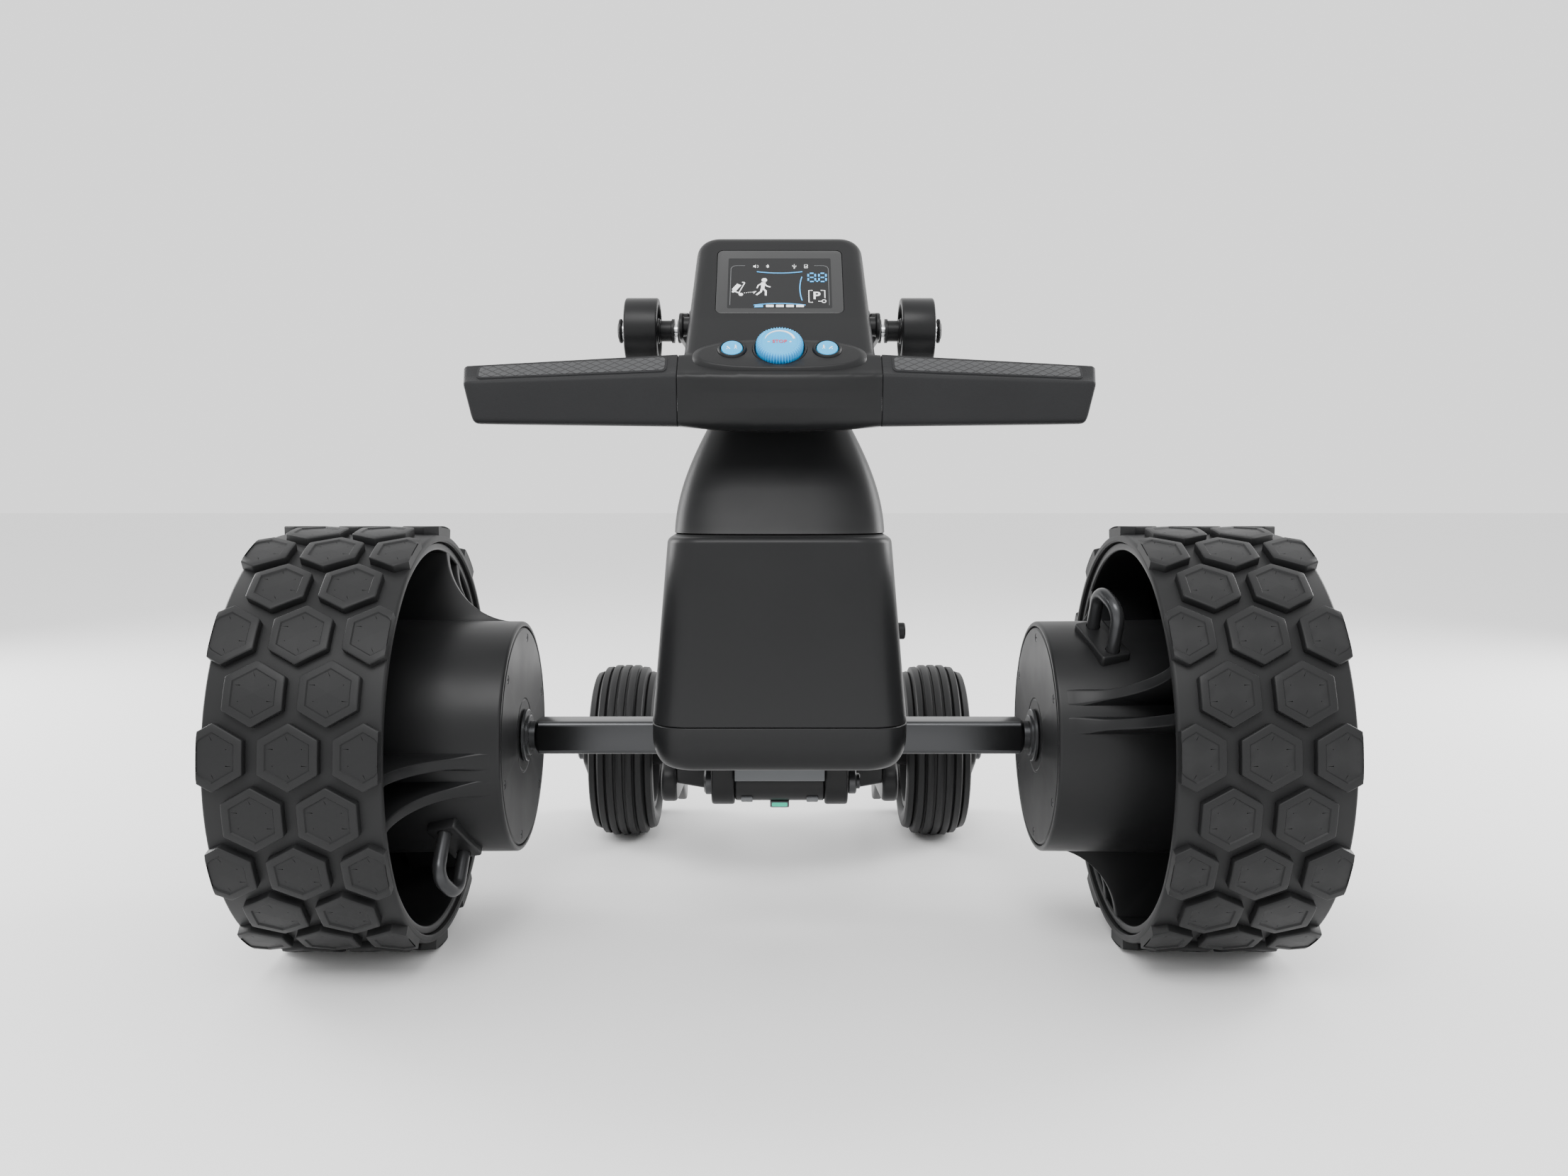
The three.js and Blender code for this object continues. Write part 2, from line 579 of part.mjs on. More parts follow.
function facePlan(inset, low, high) {
  const s = new THREE.Shape();
  const corner = 17 - inset;
  s.moveTo(-faceHalf(low) + inset, low);
  s.lineTo(faceHalf(low) - inset, low);
  s.lineTo(faceHalf(0) - inset, 0);
  s.lineTo(faceHalf(high) - inset, high - corner);
  s.absarc(faceHalf(high) - inset - corner, high - corner, corner, 0, Math.PI / 2);
  s.lineTo(-faceHalf(high) + inset + corner, high);
  s.absarc(-faceHalf(high) + inset + corner, high - corner, corner, Math.PI / 2, Math.PI);
  s.lineTo(-faceHalf(0) + inset, 0);
  return s;
}

const GLASS_AT = [-47, 47, 41.5, 111.5];
const WINDOW_AT = [-41, 41, 44.5, 104];
const BUTTON_X = 33.7;
const BUTTON_UP = -1;

function addConsoleTop() {
  const plate = alongZ(facePlan(0, FACE_LOW, FACE_TOP), -PLATE, 0);
  const [gx0, gx1, gy0, gy1] = GLASS_AT;
  const recess = alongZ(roundedRect(gx0 - GAP, gx1 + GAP, gy0 - GAP, gy1 + GAP, 5), -2.3, 1);
  const opening = alongZ(roundedRect(...WINDOW_AT, 3), -PLATE - 1, 0);
  const lens = new THREE.Shape();
  lens.moveTo(-61.5, -4);
  lens.quadraticCurveTo(-40, 12.5, 0, 12.5);
  lens.quadraticCurveTo(40, 12.5, 61.5, -4);
  lens.quadraticCurveTo(40, -26, 0, -26);
  lens.quadraticCurveTo(-40, -26, -61.5, -4);
  const island = alongZ(lens, -1, 1.2, 1, 4);
  const collar = turnedZ([[17.4, -1], [19.4, -1], [19.4, 3], [17.4, 3], [17.4, -1]]);
  const rings = [-BUTTON_X, BUTTON_X].map((x) => turnedZ([[8.1, -1], [10, -1], [9.6, 2.6],
    [8.1, 2.6], [8.1, -1]], 14).translate(x, BUTTON_UP, 0));
  const shaftHole = turnedZ([[0, -9], [4.6, -9], [4.6, 5], [0, 5]], 10);
  const wells = [-BUTTON_X, BUTTON_X].map((x) => turnedZ([[0, -9], [4.6, -9], [4.6, -1.6],
    [8.1, -1.6], [8.1, 5], [0, 5]], 14).translate(x, BUTTON_UP, 0));
  const well = turnedZ([[0, -1.6], [17.4, -1.6], [17.4, 5], [0, 5]]);
  const top = cut(join(plate, island, collar, ...rings), recess, opening, shaftHole, well, ...wells);
  add('console_top', top, BLACK_PLASTIC, console3d);
}

function addControls() {
  const [gx0, gx1, gy0, gy1] = GLASS_AT;
  add('display_glass', alongZ(roundedRect(gx0, gx1, gy0, gy1, 4.7), -2, 0.2), GLASS, console3d);
  add('display_module', box([-40, 40], [45.5, 103], [-5.8, -2.4]), DARK_PLASTIC, console3d);
  const knob = turnedZ([[4.6, 0.2], [16.9, 0.2], [16.9, 8.6], [15.6, 10], [0, 10], [0, 7],
    [4.6, 7], [4.6, 0.2]]);
  add('dial_knob', knob, BLUE, console3d);
  const shaft = turnedZ([[0, -14], [6, -14], [6, -9.6], [4, -9.6], [4, 6.4], [0, 6.4]], 10);
  add('dial_shaft', shaft, SATIN_METAL, console3d);
  for (const [side, x] of [['left', -BUTTON_X], ['right', BUTTON_X]]) {
    const button = turnedZ([[0, -11], [4, -11], [4, 0], [7.6, 0], [7.6, 3.6], [6.6, 4.6],
      [0, 4.8]], 14);
    add(`button_${side}`, button.translate(x, BUTTON_UP, 0), BLUE, console3d);
  }
  const plate = box([-52, 52], [-12, 112], [-18, -16.2]);
  add('main_board', plate, BOARD, console3d);
}

// The tub under the console face, down to the middle of the handle bar.
function addConsoleLower() {
  const p = (up, out) => faceToWorld(up, out);
  const [topY, topZ] = p(FACE_TOP - 0.3, -PLATE - GAP);
  const [ridgeY, ridgeZ] = p(FACE_LOW + 0.2, -PLATE - GAP);
  const side = new THREE.Shape();
  side.moveTo(topY, topZ);
  side.lineTo(ridgeY, ridgeZ);
  side.lineTo(ridgeY, 388);
  side.quadraticCurveTo(ridgeY, 380.5, ridgeY + 8, 380.5);
  side.lineTo(-14, 380.5);
  side.quadraticCurveTo(-6, 380.5, -4, 388);
  side.lineTo(...p(20, -36));
  side.lineTo(...p(66, -31));
  side.lineTo(...p(118, -31));
  side.lineTo(...p(FACE_TOP - 0.3, -22));
  const blank = alongX(side, -GRIP_IN + 0.6, GRIP_IN - 0.6, 1, 4);
  const plan = alongZ(facePlan(0, -90, FACE_TOP), -90, 20);
  plan.rotateX(rad(FACE_TILT)).translate(0, DECK_Y, DECK_Z);
  const room = box([-62, 62], [-15, 120], [-27, 10]);
  room.rotateX(rad(FACE_TILT)).translate(0, DECK_Y, DECK_Z);
  const hole = holeX(TUBE_R + GAP, -90, 90, 20).translate(0, TUBE_Y, TUBE_Z);
  const trimmed = toGeometry(toSolid(blank).intersect(toSolid(plan)));
  add('console_lower', cut(trimmed, room, hole), BLACK_PLASTIC);
}

// A grip keeps one section, which shrinks and sinks a little towards its outer end.
function grip() {
  const s = new THREE.Shape();
  s.moveTo(-30, 384);
  s.quadraticCurveTo(-36.5, 384, -37.5, 390);
  s.lineTo(-41.5, 417);
  s.quadraticCurveTo(-41.5, 420.6, -38.8, 421);
  s.lineTo(-25, 434.6);
  s.quadraticCurveTo(-16, 435, -10, 424);
  s.quadraticCurveTo(-3, 410, -6, 394);
  s.quadraticCurveTo(-10, 384, -18, 384);
  const body = alongX(s, GRIP_IN, GRIP_OUT, 5, 2);
  reshape(body, (v) => {
    const along = (v.x - GRIP_IN) / (GRIP_OUT - GRIP_IN);
    const end = Math.max(0, (along - 0.93) / 0.07);
    const shrink = (1 - 0.2 * along) * (1 - 0.12 * end * end);
    const middle = 401 - 1.5 * along;
    v.y = TUBE_Y + (v.y - TUBE_Y) * shrink;
    v.z = middle + (v.z - 401) * shrink;
  });
  return cut(body, holeX(TUBE_R + GAP, 60, GRIP_OUT - 9, 20).translate(0, TUBE_Y, TUBE_Z));
}

function pivotPlate() {
  const near = faceToWorld(46, -16);
  const lug = link([ROLLER_Y, ROLLER_Z], 14, near, 10);
  const plate = alongX(lug, 71.2, 74.2, 1, 4);
  const boss = turnedX([[0, 74], [8, 74], [8, 77.5], [9.5, 77.5], [9.5, 79.7], [0, 79.7]], 14);
  const hole = holeX(AXLE_R + GAP, 60, 90).translate(0, ROLLER_Y, ROLLER_Z);
  return cut(join(plate, boss.translate(0, ROLLER_Y, ROLLER_Z)), hole);
}

function addHandle() {
  addConsoleTop();
  addConsoleLower();
  addControls();
  const reach = GRIP_OUT - 10;
  add('handle_tube', rodX(TUBE_R, -reach, reach, 20).translate(0, TUBE_Y, TUBE_Z), STEEL);
  for (const side of ['left', 'right']) {
    const hand = (g) => (side === 'right' ? g : mirrored(g));
    add(`grip_${side}`, hand(grip()), RUBBER);
    add(`pivot_plate_${side}`, hand(pivotPlate()), BLACK_PLASTIC);
  }
}

addAxleBeam();
addDriveWheel('left', LEFT_PAIR);
addDriveWheel('right', RIGHT_PAIR);
addBatteryBox();
addNeck();
addRollers();
addHangers();
addFrontFrame();
addHandle();

export default trolley;
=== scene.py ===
# %% [markdown]
# A folded electric golf trolley, seen from where its user stands. The engineering model is
# already packed as a frame of rigid bodies, so this notebook only gives each part its looks.
# Every new piece is modelled with Blender's own operators, as it would be by hand, and then
# rides on one of the frame's bodies, so that it moves when the joint moves.

# %% Load the frame
import json
import math

import bmesh
import bpy
from mathutils import Matrix, Vector


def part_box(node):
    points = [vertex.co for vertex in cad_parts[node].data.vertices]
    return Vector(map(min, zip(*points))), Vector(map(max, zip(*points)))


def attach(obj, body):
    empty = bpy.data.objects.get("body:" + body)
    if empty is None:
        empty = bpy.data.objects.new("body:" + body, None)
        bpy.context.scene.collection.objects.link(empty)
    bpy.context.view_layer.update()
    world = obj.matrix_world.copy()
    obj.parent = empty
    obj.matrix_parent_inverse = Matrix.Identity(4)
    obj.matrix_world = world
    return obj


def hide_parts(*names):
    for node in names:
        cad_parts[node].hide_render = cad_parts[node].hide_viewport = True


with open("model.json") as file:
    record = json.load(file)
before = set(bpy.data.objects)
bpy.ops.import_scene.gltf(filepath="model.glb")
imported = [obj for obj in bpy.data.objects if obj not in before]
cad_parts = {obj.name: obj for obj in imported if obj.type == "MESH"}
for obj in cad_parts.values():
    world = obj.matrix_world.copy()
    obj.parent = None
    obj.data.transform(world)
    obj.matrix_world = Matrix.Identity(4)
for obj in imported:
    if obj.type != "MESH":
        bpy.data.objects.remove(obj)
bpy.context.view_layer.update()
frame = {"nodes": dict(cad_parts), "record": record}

MM = 0.001
JOINTS = {joint["name"]: joint for joint in frame["record"]["behaviour"]["joints"]}

# %% [markdown]
# The places of things come from the frame. `middle` gives the centre of a part, and `low` and
# `high` its corners, all in millimetres, which are easier to read than metres.


# %% Read places from the frame
def low(node):
    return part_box(node)[0] / MM


def high(node):
    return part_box(node)[1] / MM


def middle(node):
    return (low(node) + high(node)) / 2


AXLE = Vector((0, middle("hub_cover_left").y, middle("hub_cover_left").z))
FRONT_AXLE = Vector((0, *(Vector(JOINTS["front_wheel_right_spin"]["pos_m"]) / MM).yz))
ROLLER_AXLE = Vector((0, *middle("roller_axle").yz))
FOLD = Vector(JOINTS["front_frame_fold"]["pos_m"]) / MM
DECK = Vector(JOINTS["dial_turn"]["pos_m"]) / MM
print("drive axle", AXLE[:], "front axle", FRONT_AXLE[:])

# %% [markdown]
# Operators act on whatever is selected. `clear` puts every object down first, and `edit` opens
# a piece with all or none of it selected, so that the next operator touches only what is meant.


# %% Select with care
def clear():
    if bpy.context.mode != "OBJECT":
        bpy.ops.object.mode_set(mode="OBJECT")
    bpy.ops.object.select_all(action="DESELECT")


def hold(piece):
    clear()
    piece.select_set(True)
    bpy.context.view_layer.objects.active = piece


def edit(piece, everything=True, kind="VERT"):
    hold(piece)
    bpy.ops.object.mode_set(mode="EDIT")
    bpy.ops.mesh.select_mode(type=kind)
    bpy.ops.mesh.select_all(action="SELECT" if everything else "DESELECT")


def leave():
    bpy.ops.object.mode_set(mode="OBJECT")


def tidy_mesh(piece):
    """Merges doubled points and turns every face outwards."""
    edit(piece)
    bpy.ops.mesh.remove_doubles(threshold=0.002 * MM)
    bpy.ops.mesh.normals_make_consistent(inside=False)
    leave()
    return piece


# %% [markdown]
# Most hard parts start as an outline. A circle primitive gets one corner for each point of the
# outline, and every corner is slid to its place. It is then filled and extruded into a plate,
# or spun into a turned part. Round stretches of an outline come from `arc`.


# %% Outlines
def arc(across, up, radius, start, end, steps=8):
    """Points on an arc, from start to end in degrees."""
    turns = [math.radians(start + (end - start) * i / steps) for i in range(steps + 1)]
    return [(across + radius * math.cos(t), up + radius * math.sin(t)) for t in turns]


def full_turn(steps):
    return [2 * math.pi * i / steps for i in range(steps)]


def squared(value, power):
    """Pushes a sine or cosine outwards, which turns a circle into a soft square."""
    return math.copysign(abs(value) ** power, value)


def rounded(x0, x1, y0, y1, radius, steps=6):
    return (arc(x1 - radius, y0 + radius, radius, -90, 0, steps)
            + arc(x1 - radius, y1 - radius, radius, 0, 90, steps)
            + arc(x0 + radius, y1 - radius, radius, 90, 180, steps)
            + arc(x0 + radius, y0 + radius, radius, 180, 270, steps))


def outline(name, points, fill=True, closed=True):
    clear()
    kind = "NGON" if fill else "NOTHING"
    bpy.ops.mesh.primitive_circle_add(vertices=len(points), fill_type=kind)
    piece = bpy.context.object
    piece.name = name
    for corner, point in zip(piece.data.vertices, points):
        corner.co = Vector(point) * MM
    if not closed:
        edit(piece, everything=False)
        mesh = bmesh.from_edit_mesh(piece.data)
        mesh.verts.ensure_lookup_table()
        ends = {mesh.verts[0], mesh.verts[len(points) - 1]}
        for edge in mesh.edges:
            edge.select_set(set(edge.verts) == ends)
        bpy.ops.mesh.delete(type="EDGE")
        leave()
    return piece


def turned(name, profile, steps=96, closed=False, axis="X"):
    """Spins a profile of (along, radius) points about an axis."""
    if axis == "X":
        points = [(along, 0, radius) for along, radius in profile]
        line = (1, 0, 0)
    else:
        points = [(radius, 0, along) for along, radius in profile]
        line = (0, 0, 1)
    piece = outline(name, points, fill=False, closed=closed)
    edit(piece)
    bpy.ops.mesh.spin(steps=steps, angle=2 * math.pi, center=(0, 0, 0), axis=line)
    leave()
    return tidy_mesh(piece)


def plate(name, points, push):
    """Fills an outline of (x, y, z) points and extrudes it by push."""
    piece = outline(name, points)
    edit(piece)
    bpy.ops.mesh.extrude_region_move(TRANSFORM_OT_translate={"value": Vector(push) * MM})
    leave()
    return tidy_mesh(piece)


def plate_x(name, points, x0, x1):
    return plate(name, [(x0, y, z) for y, z in points], (x1 - x0, 0, 0))


def plate_z(name, points, z0, z1):
    return plate(name, [(x, y, z0) for x, y in points], (0, 0, z1 - z0))


# %% [markdown]
# A moulded or machined edge is never sharp. `soften` applies a Bevel modifier to every edge
# that turns more than its angle, which is what catches the light along the real edges.


# %% Finish and place pieces
def apply_modifier(piece, kind, **settings):
    hold(piece)
    modifier = piece.modifiers.new(kind.lower(), kind)
    for key, value in settings.items():
        setattr(modifier, key, value)
    bpy.ops.object.modifier_apply(modifier=modifier.name)
    return piece


def smooth(piece, angle=35):
    hold(piece)
    bpy.ops.object.shade_smooth_by_angle(angle=math.radians(angle))
    return piece


def bevelled(piece, width, segments, angle=50):
    return apply_modifier(piece, "BEVEL", width=width * MM, segments=segments, limit_method="ANGLE",
                          angle_limit=math.radians(angle))


def soften(piece, width, segments=3, angle=30):
    return smooth(bevelled(piece, width, segments, angle))


def place(piece, *steps):
    """Moves or turns a piece, the last step first, and applies it to the mesh."""
    matrix = Matrix.Identity(4)
    for step in steps:
        matrix = matrix @ step
    hold(piece)
    piece.matrix_world = matrix
    bpy.ops.object.transform_apply(location=True, rotation=True, scale=True)
    return piece


def shift(x, y=None, z=None):
    place_at = Vector(x) if y is None else Vector((x, y, z))
    return Matrix.Translation(place_at * MM)


def turn(degrees, axis):
    return Matrix.Rotation(math.radians(degrees), 4, axis)


def peg(vertices, radius, depth, *steps):
    """A plain cylinder in millimetres, mostly used to drill with."""
    clear()
    bpy.ops.mesh.primitive_cylinder_add(vertices=vertices, radius=radius * MM, depth=depth * MM)
    return place(bpy.context.object, *steps)


def discard(*pieces):
    for piece in pieces:
        hold(piece)
        bpy.ops.object.delete()


def twin(piece, name):
    hold(piece)
    bpy.ops.object.duplicate()
    copy = bpy.context.object
    copy.name = name
    return copy


def mirrored(piece, name):
    """A copy on the other side of the trolley's middle plane."""
    copy = twin(piece, name)
    place(copy, Matrix.Diagonal((-1, 1, 1, 1)))
    edit(copy)
    bpy.ops.mesh.normals_make_consistent(inside=False)
    leave()
    return copy


def join(name, *pieces):
    clear()
    for piece in pieces:
        piece.select_set(True)
    bpy.context.view_layer.objects.active = pieces[0]
    bpy.ops.object.join()
    joined = bpy.context.object
    joined.name = name
    return joined


def carve(piece, cutter, way="DIFFERENCE"):
    """Cuts one piece with another, which is then thrown away."""
    apply_modifier(piece, "BOOLEAN", operation=way, object=cutter, solver="EXACT")
    discard(cutter)
    return piece


def on_axle(side, axle=AXLE):
    """From a right-hand part about the origin to its place on either end of an axle."""
    flip = turn(180, "Y") if side == "left" else Matrix.Identity(4)
    return shift(axle), flip


def at_angle(degrees):
    """Turns what stands above the axle down to an angle above the rearward horizontal."""
    return turn(90 - degrees, "X")


TILT = math.degrees(math.acos(JOINTS["dial_turn"]["axis"][2]))
ON_FACE = (shift(DECK), turn(TILT, "X"))
print("the console face leans", round(TILT, 1), "degrees")

# %% [markdown]
# ## Finishes
# Moulded plastic is never one flat colour. Its surface has a fine spark-eroded grain, its
# roughness drifts a little over the part, and handled edges are polished lighter. `moulded`
# builds all three from noise on Object coordinates, at a grain size given in millimetres.


# %% Moulded plastic, rubber and metal
def begin_material(name):
    material = bpy.data.materials.new(name)
    material.use_nodes = True
    tree = material.node_tree
    return material, tree, tree.nodes["Principled BSDF"]


def noise(tree, size_mm, detail=2.0):
    place_of = tree.nodes.new("ShaderNodeTexCoord")
    texture = tree.nodes.new("ShaderNodeTexNoise")
    texture.inputs["Scale"].default_value = 1 / (size_mm * MM)
    texture.inputs["Detail"].default_value = detail
    tree.links.new(place_of.outputs["Object"], texture.inputs["Vector"])
    return texture


def ranged(tree, value, low_in, high_in, low_out, high_out):
    node = tree.nodes.new("ShaderNodeMapRange")
    numbers = (low_in, high_in, low_out, high_out)
    for name, number in zip(("From Min", "From Max", "To Min", "To Max"), numbers):
        node.inputs[name].default_value = number
    tree.links.new(value, node.inputs["Value"])
    return node.outputs["Result"]


def blend(tree, factor, first, second):
    """Mixes two colours, each given as numbers or as another node's output."""
    node = tree.nodes.new("ShaderNodeMix")
    node.data_type = "RGBA"
    for name, colour in (("A", first), ("B", second)):
        if isinstance(colour, tuple):
            node.inputs[name].default_value = (*colour, 1)
        else:
            tree.links.new(colour, node.inputs[name])
    tree.links.new(factor, node.inputs["Factor"])
    return node.outputs["Result"]


def bump(tree, shader, height, depth_mm, strength=1.0, under=None):
    node = tree.nodes.new("ShaderNodeBump")
    node.inputs["Strength"].default_value = strength
    node.inputs["Distance"].default_value = depth_mm * MM
    tree.links.new(height, node.inputs["Height"])
    if under is not None:
        tree.links.new(under.outputs["Normal"], node.inputs["Normal"])
    tree.links.new(node.outputs["Normal"], shader.inputs["Normal"])
    return node


def moulded(name, colour, rough, grain_mm=0.6, grain_depth=0.02, worn=0.35, metal=0.0, drift=0.05):
    material, tree, shader = begin_material(name)
    shader.inputs["Metallic"].default_value = metal
    shader.inputs["Specular IOR Level"].default_value = 0.2
    patch = noise(tree, 60, 3)
    dark, light = [tuple(c * k for c in colour) for k in (0.88, 1.12)]
    shade = blend(tree, patch.outputs["Fac"], dark, light)
    geometry = tree.nodes.new("ShaderNodeNewGeometry")
    edges = ranged(tree, geometry.outputs["Pointiness"], 0.52, 0.62, 0, 1)
    polished = tuple(c + worn * (0.1 + c) * 0.25 for c in colour)
    tree.links.new(blend(tree, edges, shade, polished), shader.inputs["Base Color"])
    spread = ranged(tree, patch.outputs["Fac"], 0.3, 0.7, rough - drift, rough + drift)
    tree.links.new(spread, shader.inputs["Roughness"])
    bump(tree, shader, noise(tree, grain_mm, 2).outputs["Fac"], grain_depth)
    return material


SHELL = moulded("shell_plastic", (0.0090, 0.0092, 0.0097), 0.38)
DARK = moulded("dark_plastic", (0.0075, 0.0077, 0.0082), 0.4)
TREAD = moulded("tread_rubber", (0.0110, 0.0112, 0.0116), 0.48, grain_mm=0.9, grain_depth=0.03)
SATIN = moulded("satin_black_metal", (0.045, 0.046, 0.048), 0.3, 0.4, 0.006, 0.8, metal=0.7)
BEAM_METAL = moulded("beam_metal", (0.05, 0.051, 0.053), 0.34, 0.4, 0.006, 0.5, metal=1.0)
PLATE_GREY = moulded("grey_plate", (0.11, 0.115, 0.12), 0.45)
BLUE = moulded("blue_plastic", (0.035, 0.42, 0.80), 0.42, 0.5, 0.008, 0.2, drift=0.03)
GREEN_BOARD = moulded("solder_mask", (0.010, 0.090, 0.035), 0.4, 3.0, 0.02)
WINDING = moulded("copper_winding", (0.42, 0.16, 0.07), 0.35, 1.2, 0.3, metal=0.8)

# %% [markdown]
# Turned steel keeps fine rings from the tool, so its bump is a noise that is squeezed along the
# axis and stretched round it. The grips have a leather-like grain of small cells, made with a
# Voronoi texture, over a soft rubber with a slight sheen.


# %% Turned steel, grip leather and display lens
def turned_steel(name="turned_steel"):
    material, tree, shader = begin_material(name)
    shader.inputs["Base Color"].default_value = (0.62, 0.63, 0.64, 1)
    shader.inputs["Metallic"].default_value = 1.0
    place_of = tree.nodes.new("ShaderNodeTexCoord")
    squeeze = tree.nodes.new("ShaderNodeMapping")
    squeeze.inputs["Scale"].default_value = (3500, 60, 60)
    rings = tree.nodes.new("ShaderNodeTexNoise")
    rings.inputs["Scale"].default_value = 1.0
    tree.links.new(place_of.outputs["Object"], squeeze.inputs["Vector"])
    tree.links.new(squeeze.outputs["Vector"], rings.inputs["Vector"])
    tree.links.new(ranged(tree, rings.outputs["Fac"], 0.3, 0.7, 0.16, 0.32), shader.inputs["Roughness"])
    bump(tree, shader, rings.outputs["Fac"], 0.01, 0.5)
    return material


def grained_grip(name="grip_leather"):
    material, tree, shader = begin_material(name)
    shader.inputs["Roughness"].default_value = 0.56
    shader.inputs["Specular IOR Level"].default_value = 0.2
    shader.inputs["Sheen Weight"].default_value = 0.03
    patch = noise(tree, 40, 3)
    shade = blend(tree, patch.outputs["Fac"], (0.0090, 0.0092, 0.0100), (0.0125, 0.0128, 0.0138))
    tree.links.new(shade, shader.inputs["Base Color"])
    place_of = tree.nodes.new("ShaderNodeTexCoord")
    cells = tree.nodes.new("ShaderNodeTexVoronoi")
    cells.inputs["Scale"].default_value = 1 / (1.4 * MM)
    tree.links.new(place_of.outputs["Object"], cells.inputs["Vector"])
    fine = bump(tree, shader, noise(tree, 0.5, 3).outputs["Fac"], 0.02)
    bump(tree, shader, ranged(tree, cells.outputs["Distance"], 0, 0.6, 1, 0), 0.06, 1.0, fine)
    return material


def lens(name="display_lens"):
    material, tree, shader = begin_material(name)
    shader.inputs["Specular IOR Level"].default_value = 0.25
    shader.inputs["Coat Weight"].default_value = 0.15
    shader.inputs["Coat Roughness"].default_value = 0.08
    shader.inputs["Roughness"].default_value = 0.3
    haze = noise(tree, 25, 2)
    shade = blend(tree, haze.outputs["Fac"], (0.030, 0.0305, 0.031), (0.034, 0.0345, 0.035))
    tree.links.new(shade, shader.inputs["Base Color"])
    bump(tree, shader, noise(tree, 6, 1).outputs["Fac"], 0.004, 0.4)
    return material


def printed(name, colour, glow=0.0):
    """An ink or a lit segment, a little uneven as screen print is. On printed ink the glow is a painted
    glow.
    """
    material, tree, shader = begin_material(name)
    shader.inputs["Roughness"].default_value = 0.45
    blotch = noise(tree, 1.5, 2)
    shade = blend(tree, blotch.outputs["Fac"], tuple(c * 0.9 for c in colour), colour)
    tree.links.new(shade, shader.inputs["Base Color"])
    if glow:
        shader.inputs["Emission Color"].default_value = (*colour, 1)
        shader.inputs["Emission Strength"].default_value = glow
    return material


STEEL = turned_steel()
GRIP = grained_grip()
LENS = lens()
SCREEN = moulded("display_panel", (0.016, 0.0163, 0.017), 0.35, 0.4, 0.004, 0.0, drift=0.02)
# The white ink glows at 0.35: lit segments on the display, and a painted glow where it is printed on the
# dial and the buttons.
WHITE_INK_LIT_AND_PAINTED_GLOW = printed("white_ink_lit_and_painted_glow", (0.82, 0.83, 0.84), 0.35)
BLUE_INK = printed("blue_ink", (0.04, 0.40, 0.85), 0.6)
GREY_INK = printed("grey_ink", (0.14, 0.145, 0.15))
RED_INK = printed("red_ink", (0.62, 0.03, 0.05))
GREEN_LIGHT = printed("green_light", (0.0, 0.55, 0.35), 0.4)

# %% [markdown]
# Every finished piece is told three things: which body it rides on, which CAD parts it stands
# for, and which material it takes. CAD parts inside the trolley keep their own
# shape, so they only get a better finish.


def coat(piece, material):
    piece.data.materials.clear()
    piece.data.materials.append(material)


def hand_over(piece, material, body, *nodes):
    coat(piece, material)
    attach(piece, body)
    if nodes:
        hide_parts(*nodes)
    return piece


def hand_over_pair(right, left_name, material, body, node):
    """Hands over a right-hand piece and its mirror image."""
    hand_over(right, material, body, f"{node}_right")
    hand_over(mirrored(right, left_name), material, body, f"{node}_left")


INSIDE = {"stator_left": WINDING, "stator_right": WINDING, "wheel_bearing_left": STEEL,
          "wheel_bearing_right": STEEL, "battery_pack": DARK, "controller_board": GREEN_BOARD,
          "main_board": GREEN_BOARD, "display_module": DARK, "handle_tube": STEEL,
          "dial_shaft": SATIN}
for node, material in INSIDE.items():
    coat(frame["nodes"][node], material)

# %% [markdown]
# ## Camera and light
# The trolley stands on a pale floor in a white studio. A broad soft light above the user fills
# the faces turned that way. It hangs where the console's deck doesn't mirror it. Two more graze
# the dark mouldings from both sides and leave the bright edges that tell their shape.

# %% Camera, floor and lights
CAMERA_BACK, CAMERA_HIGH, CAMERA_LEAN = 1.0426, 0.3547, 84.6
bpy.ops.object.camera_add(location=(0, -CAMERA_BACK, CAMERA_HIGH),
                          rotation=(math.radians(CAMERA_LEAN), 0, 0))
camera = bpy.context.object
camera.data.lens = 29.15
camera.data.sensor_width = 36
camera.data.shift_x = 0.0028
bpy.context.scene.camera = camera

bpy.ops.mesh.primitive_plane_add(size=14, location=(0, 2, 0))
floor = bpy.context.object
floor.name = "studio_floor"
edit(floor)
bpy.ops.mesh.subdivide(number_cuts=4)
leave()
paper, tree, shader = begin_material("studio_paper")
shader.inputs["Base Color"].default_value = (0.86, 0.86, 0.86, 1)
shader.inputs["Roughness"].default_value = 0.7
floor.data.materials.append(paper)

world = bpy.data.worlds.new("studio")
world.use_nodes = True
world.node_tree.nodes["Background"].inputs["Color"].default_value = (1, 1, 1, 1)
world.node_tree.nodes["Background"].inputs["Strength"].default_value = 1.55
bpy.context.scene.world = world


def soft_light(name, place_at, aim, size, watts):
    bpy.ops.object.light_add(type="AREA", location=place_at)
    light = bpy.context.object
    light.name = name
    light.data.shape = "RECTANGLE"
    light.data.size, light.data.size_y = size
    light.data.energy = watts
    toward = Vector(aim) - Vector(place_at)
    light.rotation_euler = toward.to_track_quat("-Z", "Y").to_euler()
    return light


soft_light("key_above", (-0.3, -1.7, 2.1), (0, 0, 0.2), (1.6, 1.0), 48)
soft_light("side_left", (-1.9, 0.7, 0.8), (0, 0, 0.3), (0.8, 1.8), 55)
soft_light("side_right", (1.9, 0.7, 0.8), (0, 0, 0.3), (0.8, 1.8), 60)
print("camera at", camera.location[:])

# %% [markdown]
# Smooth moulded bodies are lofted: a stack of closed sections with the same number of points.
# A grid primitive gives the faces, its rows are slid onto the sections, and the two long edges
# are merged so that the skin closes. The ends are filled, which makes it a solid.


